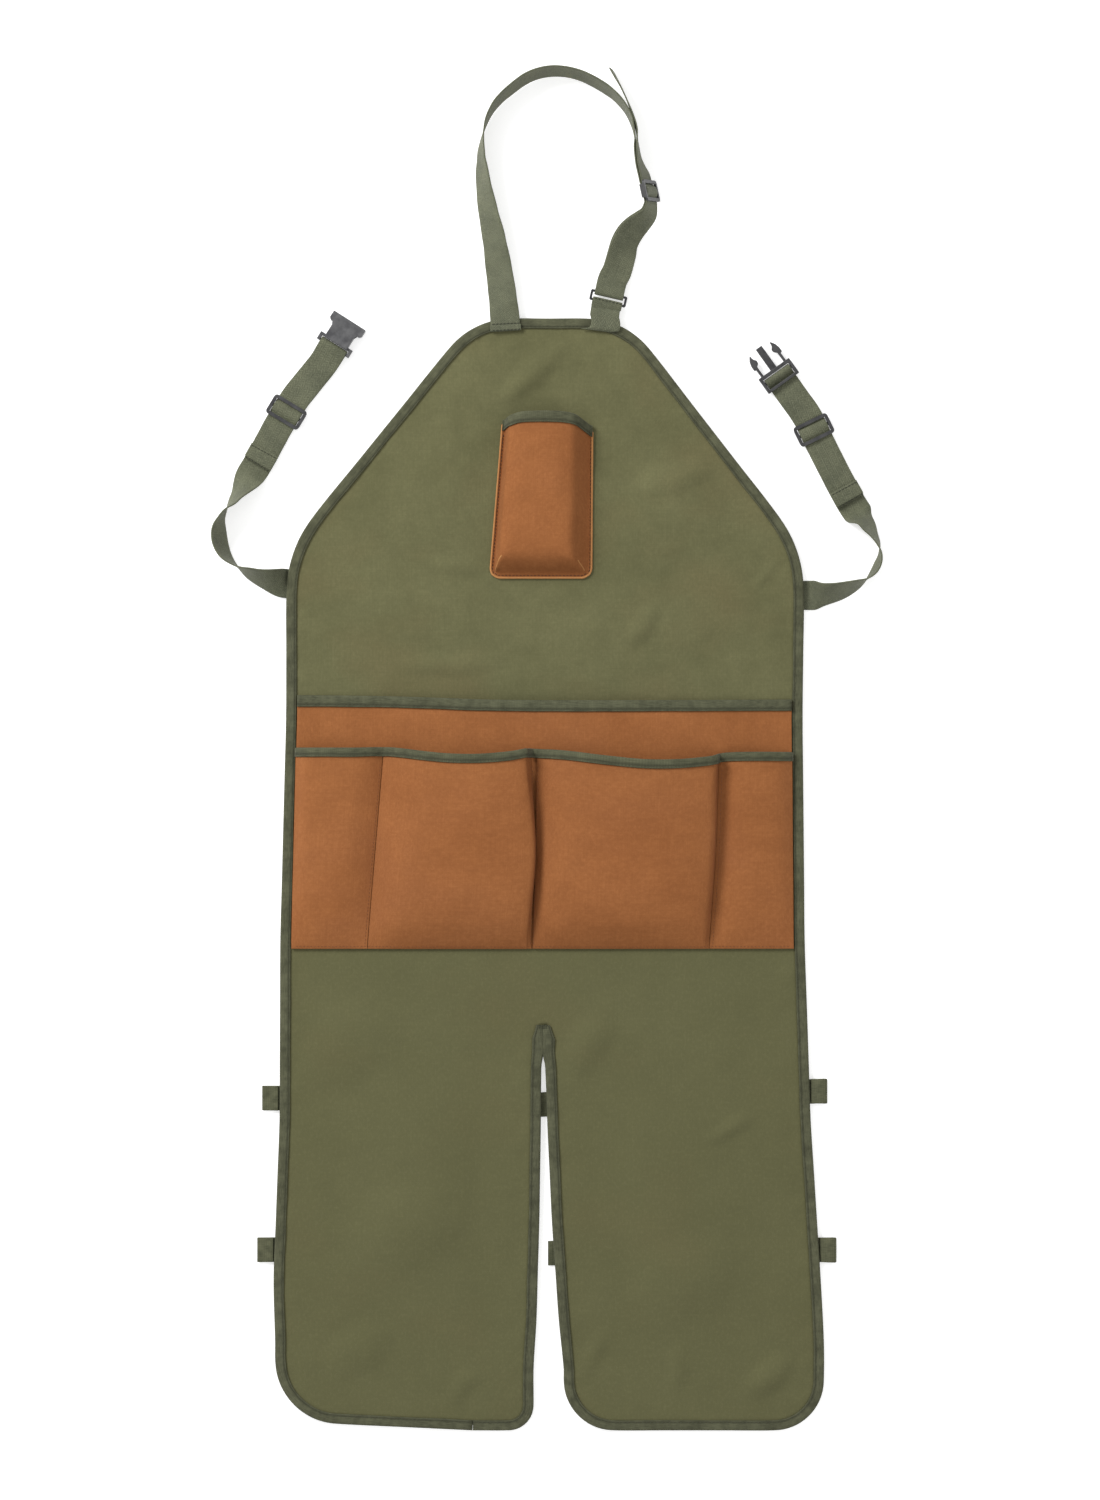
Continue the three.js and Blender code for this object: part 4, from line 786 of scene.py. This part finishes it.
# %% Pocket tables
POCKETS_GAP = 0.8
POCKETS_DROP = 315.5
POCKETS_HEIGHT = 210
FRONT_HEIGHT = 168.5
BACK_BULGE = 6.5
BACK_MOUTH_FALL = 4.2
BELLOWS_DEPTH = 18
MOUTH_SAG = 14.6
PLEAT_BOW = 6.5
SEAM_LINE = APRON_TOP - POCKETS_DROP - POCKETS_HEIGHT
MOUTH_ROOM = TAPE_CLOTH + PLY
# Back pocket: across, rise, fall
BACK_COLUMNS = [
    (0, 0, 0), (0.08, 0.12, 0.05), (0.18, 0.42, 0.2), (0.28, 0.78, 0.5), (0.38, 0.95, 0.85),
    (0.5, 1.0, 1), (0.62, 0.98, 1), (0.73, 0.82, 0.98), (0.83, 0.45, 0.95), (0.92, 0.12, 0.9),
    (1, 0, 0.85),
]
# Rows of a body pocket: up, full
POCKET_ROWS = [
    (0, 0), (0.06, 0.3), (0.15, 0.62), (0.3, 0.86), (0.5, 0.97), (0.72, 1), (0.93, 1), (1, 1),
]
# Front pockets: across at the mouth and at the foot, rise, sag, bow
FRONT_COLUMNS = [
    (0, 0, 0, 0.14, 0), (0.025, 0.02, 0.38, 0.14, 0), (0.07, 0.055, 0.54, 0.14, 0),
    (0.12, 0.095, 0.52, 0.14, 0), (0.155, 0.125, 0.34, 0.12, 0), (0.174, 0.148, 0.12, 0.12, 0),
    (0.178, 0.152, 0.12, 0.12, 0), (0.195, 0.166, 0.3, 0.13, 0), (0.22, 0.19, 0.66, 0.2, 0),
    (0.26, 0.233, 0.93, 0.34, 0), (0.31, 0.292, 1.05, 0.47, 0), (0.37, 0.356, 1.08, 0.49, 0.2),
    (0.43, 0.425, 1.0, 0.35, 0.6), (0.46, 0.464, 0.88, 0.2, 1), (0.465, 0.469, 0.6, 0.2, 1),
    (0.4705, 0.473, 0.26, 0.19, 0.8), (0.476, 0.477, 0.08, 0.2, 0.3),
    (0.486, 0.481, 0.08, 0.22, 0.1), (0.503, 0.488, 0.26, 0.24, 0), (0.522, 0.507, 0.58, 0.26, 0),
    (0.56, 0.547, 0.88, 0.36, 0), (0.62, 0.607, 1.03, 0.57, 0), (0.7, 0.682, 1.1, 0.79, 0),
    (0.77, 0.75, 1.04, 0.79, 0.1), (0.826, 0.806, 0.9, 0.65, 0.2),
    (0.844, 0.821, 0.74, 0.56, 0.3), (0.848, 0.826, 0.42, 0.53, 0.3),
    (0.852, 0.831, 0.14, 0.49, 0.2), (0.858, 0.837, 0.12, 0.46, 0.2),
    (0.87, 0.848, 0.16, 0.42, 0.1), (0.895, 0.879, 0.46, 0.39, 0), (0.935, 0.924, 0.54, 0.38, 0),
    (0.975, 0.97, 0.38, 0.39, 0), (1, 1, 0, 0.4, 0),
]
LEFT_SEAM, MIDDLE_SEAM, RIGHT_SEAM = 5, 16, 27
print("front columns", len(FRONT_COLUMNS), "seam line at", round(SEAM_LINE, 1), "mm")

# %% [markdown]
# Reading the tables: a place on a pocket is a number of columns across and a share of its
# height. Small creases are added where the cloth hangs free, and none at its seams.


# %% Pocket surfaces
def column_at(table, part, at):
    return curve_at(list(range(len(table))), [row[part] for row in table], at)


def pockets_across(across, y):
    left = side_at(y, -1) + TAPE_WIDTH + POCKETS_GAP
    right = side_at(y, 1) - TAPE_WIDTH - POCKETS_GAP
    return blend(left, right, across)


def fullness(up):
    return curve_at([row[0] for row in POCKET_ROWS], [row[1] for row in POCKET_ROWS], up)


def mouth_lift(up):
    return MOUTH_ROOM * ease((up - 0.5) / 0.4)


def back_level(x, y):
    left, right = pockets_across(0, y), pockets_across(1, y)
    across = min(max((x - left) / (right - left), 0), 1)
    up = min(max((y - SEAM_LINE) / POCKETS_HEIGHT, 0), 1)
    places = [row[0] for row in BACK_COLUMNS]
    rise = curve_at(places, [row[1] for row in BACK_COLUMNS], across) * fullness(up)
    return PANEL_TOP + PLY + POCKET_CLOTH / 2 + mouth_lift(up) + rise * BACK_BULGE


def back_spot(at, up):
    across, _, fall = (column_at(BACK_COLUMNS, part, at) for part in range(3))
    y = SEAM_LINE + up * (POCKETS_HEIGHT - fall * BACK_MOUTH_FALL)
    x = pockets_across(across, y)
    crease = wave(x, y, 38, 2.7) * 0.5 * ease(up * 8) * ease(min(at, 10 - at) * 2)
    return Vector((x, y, back_level(x, y) + crease * fullness(up) * ease((1 - up) * 12)))


def front_spot(at, up):
    across, foot, rise, sag, bow = (column_at(FRONT_COLUMNS, part, at) for part in range(5))
    y = SEAM_LINE + up * (FRONT_HEIGHT - sag * MOUTH_SAG)
    sideways = PLEAT_BOW * bow * math.sin(math.pi * min(max(up, 0), 1)) ** 2
    x = pockets_across(blend(foot, across, up), y) + sideways
    level = back_level(x, y) + POCKET_CLOTH + PLY + mouth_lift(up)
    depth = rise * fullness(up) * BELLOWS_DEPTH
    free = ease(depth / 9) * ease(up * 7) * ease((1 - up) * 9 + 0.1)
    crease = wave(x, y * 0.8, 30, 7.3) * 0.9 + wave(x * 1.2, y * 0.6, 14, 1.9) * 0.3
    return Vector((x, y, level + depth + crease * free))


print("bellows' highest point in mm:", round(max(front_spot(22, up / 8).z for up in range(9)), 1))

# %% [markdown]
# ## Pocket cloth and its tape
# Every pocket is made from its surface in the same way: a grid, a thickness, tape folded over
# the mouth, and thread along the tape and the seams.


# %% Pocket makers
def make_pocket(name, surface, first, last, steps, rows, node):
    """A pocket cloth from one column of its table to another, with its flat size and area."""
    columns = round((last - first) * steps)
    middle = [surface(blend(first, last, step / columns), 0.5) for step in range(columns + 1)]
    width = sum((b - a).length for a, b in zip(middle, middle[1:]))
    side = [surface((first + last) / 2, step / rows) for step in range(rows + 1)]
    length = sum((b - a).length for a, b in zip(side, side[1:]))
    start = middle[0]
    flat = lambda across, along: (start.x + across * width, along * length)
    mesh = cloth_grid(columns, rows, lambda u, v: surface(blend(first, last, u), v), flat)
    area = sum(face.calc_area() for face in mesh.faces)
    piece = add_piece(name, mesh, brown_canvas, [node])
    give_thickness(piece, POCKET_CLOTH - 0.1, 0.2)
    print(name, "flat", round(width), "by", round(length), "mm, area", round(area, 4))
    return piece, width * MM, length * MM, area


def make_mouth_tape(name, surface, last, steps, nodes, wide=MOUTH_TAPE_WIDTH):
    """Tape folded over a pocket's mouth, with its thread."""
    rows = round(last * steps)
    half = POCKET_CLOTH / 2 + PLY + TAPE_CLOTH / 2
    section = [
        (wide, half - 0.15), (wide * 0.93, half), (wide * 0.7, half + 0.02), (wide * 0.4, half),
        (0.6, half), (-0.2, half * 0.86), (-0.62, half * 0.5), (-0.75, 0), (-0.62, -half * 0.5),
        (-0.2, -half * 0.86), (0.6, -half), (wide * 0.5, -half), (wide, -half),
    ]
    columns = len(section) - 1
    frames = []
    far = 0.0
    for row in range(rows + 1):
        at = last * (1 - row / rows)
        top = surface(at, 1.0)
        into = (surface(at, 0.94) - top).normalized()
        beside = surface(min(at + 0.2, last), 1.0) - surface(max(at - 0.2, 0), 1.0)
        out = beside.cross(-into).normalized()
        if frames:
            far += (top - frames[-1][0]).length
        frames.append((top, into, out, far))

    def spot(across, along):
        top, into, out, at = frames[round(along * rows)]
        depth, reach = section[round(across * columns)]
        front = 1 if reach > 0 else 0
        depth *= 1 + 0.03 * wave(at, 0, 22, 3.3) * front
        return top + into * depth + out * (reach + 0.06 * wave(at, depth, 9, 5.7) * front)

    thread = bmesh.new()
    run = [(top + into * wide * 0.8 + out * (half + TAPE_CLOTH / 2), out)
           for top, into, out, _ in frames]
    made = add_stitches(thread, run)
    flat = lambda across, along: (across * (wide * 2 + 3), along * far)
    piece = add_piece(name, cloth_grid(columns, rows, spot, flat), green_tape, nodes)
    give_thickness(piece, 0.8)
    thread_piece = add_piece(name + "_thread", thread, green_thread)
    print(name, round(far), "mm long, stitches", made)
    return [piece, thread_piece]


# %% [markdown]
# ## The body's pockets
# The back pocket is one cloth right across. The front one is sewn down in four pieces: a flat
# pocket, two bellows and another flat pocket, under one common tape.

# %% Body pockets
back_cloth = make_pocket("back_pocket_cloth", back_spot, 0, 10, 13, 60, "back_pocket")
back_tape = make_mouth_tape("back_mouth_tape", back_spot, 10, 14, ["back_pocket_binding"])
front_last = len(FRONT_COLUMNS) - 1
# First and last column, steps for each column, the piece and the CAD pocket that it stands for
FRONT_PARTS = [
    (0, LEFT_SEAM + 0.8, 5, "front_left_cloth", "front_pocket_left"),
    (LEFT_SEAM + 1, MIDDLE_SEAM, 6, "bellows_left_cloth", "bellows_pocket_left"),
    (MIDDLE_SEAM + 1, RIGHT_SEAM, 6, "bellows_right_cloth", "bellows_pocket_right"),
    (RIGHT_SEAM + 0.2, front_last, 5, "front_right_cloth", "front_pocket_right"),
]
front_cloths = [make_pocket(name, front_spot, first, last, steps, 56, node)
                for first, last, steps, name, node in FRONT_PARTS]
front_tape = make_mouth_tape(
    "front_mouth_tape", front_spot, front_last, 6,
    [node.replace("pocket", "binding") for *_, node in FRONT_PARTS], FRONT_TAPE_WIDTH,
)

# %% [markdown]
# ## Seams of the front pockets
# Thread holds the front cloth down beside each upright seam and along the foot of the pockets.


# %% Front seams
def make_seam_thread(name, runs, finish, length=2.1, thick=0.4):
    thread = bmesh.new()
    made = sum(add_stitches(thread, run, 3.0, length, thick) for run in runs)
    print(name, "stitches", made)
    return add_piece(name, thread, finish)


THREAD_LIFT = POCKET_CLOTH / 2 + 0.05  # from the middle of the cloth to the thread's


def seam_run(surface, spots):
    """A run of thread over some (column, up) spots of a pocket's surface."""
    run = []
    for at, up in spots:
        place = surface(at, up)
        beside = surface(at + 0.1, up) - surface(at - 0.1, up)
        above = surface(at, up + 0.01) - surface(at, up - 0.01)
        out = beside.cross(above).normalized()
        run.append((place + out * THREAD_LIFT, out))
    return run


ups = [0.02 + 0.9 * step / 50 for step in range(51)]
foot = [blend(0.4, front_last - 0.4, step / 150) for step in range(151)]
upright = [LEFT_SEAM - 0.15, MIDDLE_SEAM - 0.2, MIDDLE_SEAM + 1.2, RIGHT_SEAM + 1.2]
seams = [seam_run(front_spot, [(at, up) for up in ups]) for at in upright]
seams.append(seam_run(front_spot, [(at, 0.012) for at in foot]))
front_thread = make_seam_thread("front_seam_thread", seams, brown_thread)

# %% [markdown]
# ## The chest pocket
# This one is a box of cloth: a face with gussets at both sides and at the foot, in a narrow
# flange that is sewn to the bib. Its mouth stands open in an arch. The same kind of table gives
# its columns and rows, and the two lower corners of the flange are rounded off.

# %% Chest pocket
CHEST_DROP, CHEST_HEIGHT, CHEST_TOP, CHEST_BOTTOM = 80, 137, 75, 85
CHEST_DEPTH, CHEST_ARCH, CHEST_ROUND, CHEST_LEAN, WAIST = 19, 11, 9, 5.8, 432
# Columns: across, rise, arch. Rows: up, rise.
CHEST_COLUMNS = [
    (0, 0, 0.45), (0.04, 0, 0.5), (0.065, 0.45, 0.6), (0.1, 0.84, 0.72), (0.2, 1.0, 0.93),
    (0.36, 1.09, 1), (0.54, 1.1, 1), (0.68, 1.02, 0.95), (0.79, 0.88, 0.8), (0.87, 0.48, 0.5),
    (0.955, 0.02, 0.12), (1, 0, 0),
]
CHEST_ROWS = [
    (0, 0), (0.03, 0), (0.07, 0.45), (0.12, 0.82), (0.175, 0.98), (0.3, 1.05), (0.55, 1.1),
    (0.78, 1.12), (0.9, 1.12), (1, 1.12),
]


def softer_min(first, second, soft=0.12):
    """The lower of two numbers, with the corner between them rounded."""
    share = min(max(0.5 + (second - first) / (2 * soft), 0), 1)
    return blend(second, first, share) - soft * share * (1 - share)


def chest_spot(at, up):
    across, rise, arch = (column_at(CHEST_COLUMNS, part, at) for part in range(3))
    row_rise = curve_at([row[0] for row in CHEST_ROWS], [row[1] for row in CHEST_ROWS], up)
    width = blend(CHEST_BOTTOM, CHEST_TOP, up)
    x = (across - 0.5) * width
    y = up * (CHEST_HEIGHT - (1 - arch) * CHEST_ARCH)
    aside, below = abs(x) - width / 2 + CHEST_ROUND, CHEST_ROUND - y
    if aside > 0 and below > 0:
        reach = max(aside, below) / math.hypot(aside, below)
        x = math.copysign(width / 2 - CHEST_ROUND + aside * reach, x)
        y = CHEST_ROUND - below * reach
    lift = MOUTH_ROOM * ease((up - 0.55) / 0.35)
    depth = max(softer_min(rise, row_rise), 0) * CHEST_DEPTH
    free = ease(depth / 12) * ease((1 - up) * 9)
    crease = (wave(x, y, 22, 4.6) * 0.8 + wave(x, y * 0.5, 9, 2.3) * 0.25) * free
    x += -0.0171 * WAIST + CHEST_LEAN * up
    y += APRON_TOP - CHEST_DROP - CHEST_HEIGHT
    level = PANEL_TOP + PLY + POCKET_CLOTH / 2 + lift + depth + crease
    return Vector((x, y, level))


chest_last = len(CHEST_COLUMNS) - 1
chest_cloth = make_pocket("chest_pocket_cloth", chest_spot, 0, chest_last, 7, 76, "chest_pocket")
chest_tape = make_mouth_tape("chest_mouth_tape", chest_spot, chest_last, 9,
                             ["chest_pocket_binding"])
chest_ends = (0.5, chest_last - 0.45)  # the columns of its two upright seams
sides = [
    seam_run(chest_spot, [(chest_ends[0], 1 - step / 60) for step in range(5, 59)]),
    seam_run(chest_spot, [(blend(*chest_ends, step / 50), 0.018) for step in range(51)]),
    seam_run(chest_spot, [(chest_ends[1], step / 60) for step in range(2, 56)]),
]
# Thick dark thread in the groove inside the rim: real stitching and painted groove shade.
chest_thread = make_seam_thread("chest_seam_thread", sides, thread_and_groove_shade, 2.7, 0.8)

# %% [markdown]
# The pocket's flange is folded over a cord, which stands up as a thin rim down its sides
# and round its foot, and the gussets meet in a raised slanting seam at each lower corner. The
# cords are made in a paler copy of the brown canvas, a painted highlight on these raised edges.


# %% Chest piping
def make_piping(name, run, radius):
    """A round cord of cloth along a run of (place, up) in millimetres, closed at both ends."""
    rows, sections = len(run) - 1, 8
    far = [0.0]
    for (start, _), (end, _) in zip(run, run[1:]):
        far.append(far[-1] + (end - start).length)

    def spot(across, along):
        row = round(along * rows)
        place, up = run[row]
        way = (run[min(row + 1, rows)][0] - run[max(row - 1, 0)][0]).normalized()
        side = up.cross(way).normalized()
        angle = -across * 2 * math.pi
        thick = radius * (1 + 0.12 * wave(far[row], 0, 12, 4.9)) if 0 < row < rows else 0
        return place + (side * math.sin(angle) + up * math.cos(angle)) * thick

    flat = lambda across, along: (across * 2 * math.pi * radius, far[round(along * rows)])
    mesh = cloth_grid(sections, rows, spot, flat)
    bmesh.ops.remove_doubles(mesh, verts=mesh.verts, dist=0.00002)
    print(name, "length in mm", round(far[-1]))
    return add_piece(name, mesh, lit_brown_cord)


def smooth_run(spots, steps, lift):
    """Places over a pocket's surface, evenly along a chain of its spots."""
    run = []
    for start, end in zip(spots, spots[1:]):
        for step in range(steps):
            at, up = (blend(a, b, step / steps) for a, b in zip(start, end))
            run.append((chest_spot(at, up) + Vector((0, 0, lift)), Vector((0, 0, 1))))
    return run


rim_spots = [(0.06, 0.985), (0.06, 0.004), (chest_last - 0.06, 0.004), (chest_last - 0.06, 0.985)]
chest_cords = [
    make_piping("chest_rim", smooth_run(rim_spots, 90, 0.5), 0.9),
    make_piping("chest_mitre_left", smooth_run([(1.2, 0.035), (3.3, 0.15)], 14, 0.35), 0.7),
    make_piping("chest_mitre_right", smooth_run([(9.9, 0.035), (8.7, 0.125)], 12, 0.35), 0.6),
]

# %% [markdown]
# ## Webbing straps
# A strap is a flat ribbon that twists and folds but never stretches. Each CAD strap is a chain
# of rings of four corners, so its rings are walked from one end to the other. A smooth curve
# through their middles, with the way across at each, carries a finer ribbon. Sweeping a profile
# along a Blender curve would lose the twist that the rings hold.


# %% Strap helpers
def strap_rings(node, start):
    """Middles and ways across of a strap's rings, from the end nearest to start."""
    mesh = merged_copy(node)
    goal = Vector(start) * MM
    ring = sorted(mesh.verts, key=lambda vert: (vert.co - goal).length)[:4]
    seen = set()
    rings = []
    way = None
    while ring:
        seen.update(ring)
        middle = sum((vert.co for vert in ring), Vector()) / len(ring)
        corner = max((vert.co - middle for vert in ring), key=lambda offset: offset.length)
        across = Vector()
        for vert in ring:
            offset = vert.co - middle
            across += offset if offset.dot(corner) > 0 else -offset
        across.normalize()
        if way is not None and across.dot(way) < 0:
            across = -across
        way = across
        rings.append((middle / MM, across))
        ring = list({edge.other_vert(v) for v in ring for edge in v.link_edges} - seen)
    print(node, "rings", len(rings), "corners", len(seen))
    mesh.free()
    return rings


class Strap:
    """A ribbon through rings, read at any length along it."""

    def __init__(self, rings):
        self.far = [0.0]
        for (start, _), (end, _) in zip(rings, rings[1:]):
            self.far.append(self.far[-1] + (end - start).length)
        self.length = self.far[-1]
        axes = [(part, axis) for part in (0, 1) for axis in (0, 1, 2)]
        self.columns = [[ring[part][axis] for ring in rings] for part, axis in axes]

    def place(self, at):
        x, y, z, *across = (curve_at(self.far, column, at) for column in self.columns)
        return Vector((x, y, z)), Vector(across).normalized()

    def frame(self, at):
        middle, across = self.place(at)
        before = self.place(max(at - 0.6, 0))[0]
        after = self.place(min(at + 0.6, self.length))[0]
        along = (after - before).normalized()
        return middle, across, across.cross(along).normalized()

    def stations(self, pitch):
        found = []
        for low, high in zip(self.far, self.far[1:]):
            parts = max(1, math.ceil((high - low) / pitch))
            found += [low + (high - low) * part / parts for part in range(parts)]
        return found + [self.length]


STRAP_PITCH = 2.4  # the longest step between a strap's cross rows


def make_strap(name, node, start, width, cloth, finish, slack=0.0):
    """A strap's ribbon. Slack is how far its loop, at half its length, hangs past the CAD one,
    and its upper layer then lies level up to the loop."""
    strap = Strap(strap_rings(node, start))
    stations = strap.stations(STRAP_PITCH)
    frames = [strap.frame(at) for at in stations]
    for at, (middle, _, _) in zip(stations, frames):
        middle.y += slack * ease(1.3 - abs(at - strap.length / 2) / 9)
        if slack and at > strap.length / 2 + 5:
            middle.z = max(middle.z, frames[-1][0].z - 0.5)
    rows = len(stations) - 1

    def spot(across, along):
        row = round(along * rows)
        middle, way, _ = frames[row]
        selvedge = 0.18 * wave(stations[row], across * 90, 14, 9.1)
        return middle + way * ((across - 0.5) * (width - 0.5) + selvedge)

    flat = lambda across, along: ((across - 0.5) * width, stations[round(along * rows)])
    piece = add_piece(name, cloth_grid(8, rows, spot, flat), finish, [node])
    give_thickness(piece, cloth - 0.05, 0.28)
    print(name, "length in mm", round(strap.length))
    return strap


# %% [markdown]
# ## Neck, waist and leg straps
# The neck strap starts at its hem on the bib and the waist straps behind the apron's sides. The
# leg straps are a softer, narrower elastic that lies behind each leg.

# %% Straps
# Where the walk along each strap starts: near its end at the bib or at the apron's side
NECK_START, TAB_START = (-36.4, 347.7, 6.3), (44.9, 347.75, 6.3)
LEFT_START = (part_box("waist_strap_left")[1].x / MM + 60, 137.7, 0.6)
RIGHT_START = (100, 127.7, 0.6)
web = (WEB_WIDTH, WEB_CLOTH, webbing)
neck = make_strap("neck_webbing", "neck_strap", NECK_START, *web)
tab = make_strap("tab_webbing", "neck_tab", TAB_START, *web, slack=3.4)
left_strap = make_strap("waist_webbing_left", "waist_strap_left", LEFT_START, *web)
right_strap = make_strap("waist_webbing_right", "waist_strap_right", RIGHT_START, *web)
for side in ("left", "right"):
    for level in ("upper", "lower"):
        node = f"leg_strap_{side}_{level}"
        low, high = (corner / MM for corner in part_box(node))
        inner_x = high.x if side == "left" else low.x
        start = (inner_x, (low.y + high.y) / 2, 0.6)
        make_strap(f"leg_elastic_{side}_{level}", node, start, ELASTIC_WIDTH, ELASTIC_CLOTH,
                   elastic)

# %% [markdown]
# ## Hems and strap stitching
# Webbing frays, so its end is turned over once before it is sewn down. That doubled end is a
# short second layer, with a row of thread along it. More rows hold the turned-back ends.


# %% Hems and strap thread
HEM_CLOTH = 0.8
HEM_RISE = WEB_CLOTH / 2 + 0.42  # from the middle of the strap's cloth to the middle of the hem's
ON_STRAP, ON_HEM = 0.8, 1.5  # the thread's height over the middle of the strap's cloth


def upwards(direction):
    return direction if direction.z > 0 else -direction


def make_hem(name, strap, first, last, wide):
    """The doubled end of a strap, laid on its upper side between two lengths."""

    def spot(across, along):
        middle, way, out = strap.frame(blend(first, last, along))
        level = HEM_RISE + 0.1 * wave(across * WEB_WIDTH, along * 6, 7, 3.8)
        return middle + way * (across - 0.5) * wide + upwards(out) * level

    mesh = cloth_grid(8, 6, spot, evenly(wide, last - first))
    give_thickness(add_piece(name, mesh, webbing), HEM_CLOTH, 0.25)


def bar_of_thread(strap, at, rise):
    """A row of thread across a strap, at a height over the middle of its cloth."""
    middle, across, out = strap.frame(at)
    out = upwards(out)
    return [(middle + across * share * WEB_WIDTH + out * rise, out) for share in (-0.46, 0, 0.46)]


make_hem("neck_hem", neck, 0.4, 5.6, WEB_WIDTH + 0.6)
make_hem("tab_hem", tab, tab.length - 7.4, tab.length - 0.4, WEB_WIDTH + 0.2)
strap_runs = [
    bar_of_thread(neck, 0.9, ON_HEM),
    bar_of_thread(neck, 6.1, ON_STRAP),
    bar_of_thread(tab, tab.length - 1.6, ON_HEM),
    bar_of_thread(tab, tab.length - 7.9, ON_STRAP),
]
for name, strap in (("tail_hem_left", left_strap), ("tail_hem_right", right_strap)):
    make_hem(name, strap, strap.length - 12.6, strap.length - 0.2, WEB_WIDTH + 0.3)
    strap_runs.append(bar_of_thread(strap, strap.length - 2.0, ON_HEM))
    strap_runs.append(bar_of_thread(strap, strap.length - 13.2, ON_STRAP))
# These thick dark rows are real stitching and also painted shade along the edges of the hems.
make_seam_thread("strap_thread", strap_runs, hem_thread_and_shade, 2.8, 0.9)

# %% [markdown]
# ## Buckle, sliders and ring
# Moulded plastic has no knife edges, and neither has bent wire. Each CAD solid is copied, its
# triangles are joined into flat faces, and its sharp edges are bevelled. Adding a Bevel modifier
# to the loose triangles would round nothing, because they share no edges.


# %% Hardware
def make_hard(name, node, finish, rounded):
    """A CAD solid as one mesh of flat faces, with its sharp edges rounded, in millimetres."""
    mesh = merged_copy(node)
    bmesh.ops.dissolve_limit(mesh, angle_limit=math.radians(2), verts=mesh.verts, edges=mesh.edges)
    sharp = [edge for edge in mesh.edges
             if len(edge.link_faces) == 2 and edge.calc_face_angle(0) > math.radians(25)]
    bmesh.ops.bevel(mesh, geom=sharp, offset=rounded * MM, offset_type="OFFSET", affect="EDGES",
                    segments=2, profile=0.5, material=-1, clamp_overlap=True)
    for face in mesh.faces:
        face.smooth = face.calc_area() < 4e-6
    add_piece(name, mesh, finish, [node])
    print(name, "edges rounded", len(sharp))


for node in ("neck_slider", "waist_slider_left", "waist_slider_right", "buckle_plug"):
    make_hard(node + "_moulded", node, dark_plastic, 0.5)
make_hard("buckle_socket_moulded", "buckle_socket", grey_plastic, 0.5)
make_hard("neck_ring_wire", "neck_ring", black_wire, 0.6)

# %% [markdown]
# ## The cloth's flat sizes
# For each cut of cloth, the size of its flat pattern and its area are worked out and printed.

# %% Sheets
pocket_parts = [
    (back_cloth, back_tape, ["main_panel"]),
    (front_cloths[0], [], ["back_pocket"]),
    (front_cloths[1], front_tape + [front_thread], ["back_pocket"]),
    (front_cloths[2], [], ["back_pocket"]),
    (front_cloths[3], [], ["back_pocket"]),
    (chest_cloth, chest_tape + [chest_thread] + chest_cords, ["main_panel"]),
]
for (piece, width, length, area), on_it, under in pocket_parts:
    wide = max(width, area / length)
    print(piece.name, "declared", round(wide, 4), round(length, 4), round(area, 4))

# %% [markdown]
# ## Floor and light
# The apron lies on a plain pale floor, which gives off a little light of its own and so shows
# almost white. It belongs to the stage and not to the apron.

# %% Floor
FLOOR_LEVEL = -0.0006
FLOOR_HALF = 20  # metres from its middle to each side, so that its rim is far off in low views
floor_mesh = bmesh.new()
bmesh.ops.create_grid(floor_mesh, x_segments=1, y_segments=1, size=FLOOR_HALF)
for vert in floor_mesh.verts:
    vert.co.z = FLOOR_LEVEL
floor_finish = Finish("floor", Specular_IOR_Level=0.1, Roughness=0.9,
                      Emission_Color=(1, 1, 1, 1), Emission_Strength=0.5)
floor_tone = floor_finish.noise(object_place(floor_finish), 3.0, 2.0)
floor_finish.shade(Base_Color=floor_finish.mix(floor_tone, (0.86, 0.86, 0.86, 1),
                                               (0.88, 0.88, 0.88, 1)))
floor_data = bpy.data.meshes.new("floor")
floor_mesh.to_mesh(floor_data)
floor_mesh.free()
floor_data.materials.append(floor_finish.material)
floor = bpy.data.objects.new("floor", floor_data)
bpy.context.scene.collection.objects.link(floor)
print("floor at", FLOOR_LEVEL)

# %% [markdown]
# A broad soft lamp from the upper left gives each fold a light and a dark side, a weaker one
# fills in from the right, and a bright even surround keeps the shadows faint.


# %% Lamps
def add_lamp(name, place, size, power):
    data = bpy.data.lights.new(name, "AREA")
    data.shape = "DISK"
    data.size = size
    data.energy = power
    lamp = bpy.data.objects.new(name, data)
    lamp.location = place
    lamp.rotation_euler = (-Vector(place)).to_track_quat("-Z", "Y").to_euler()
    bpy.context.scene.collection.objects.link(lamp)


add_lamp("key lamp", place=(-2.1, 1.9, 2.1), size=1.5, power=108)
add_lamp("fill lamp", place=(2.4, -1.0, 2.8), size=2.4, power=16)
world = bpy.data.worlds.new("studio")
bpy.context.scene.world = world
world.use_nodes = True
world.node_tree.nodes["Background"].inputs["Color"].default_value = (1, 1, 1, 1)
world.node_tree.nodes["Background"].inputs["Strength"].default_value = 0.66
bpy.context.scene.view_settings.view_transform = "Standard"
print("lamps:", [light.name for light in bpy.data.lights])
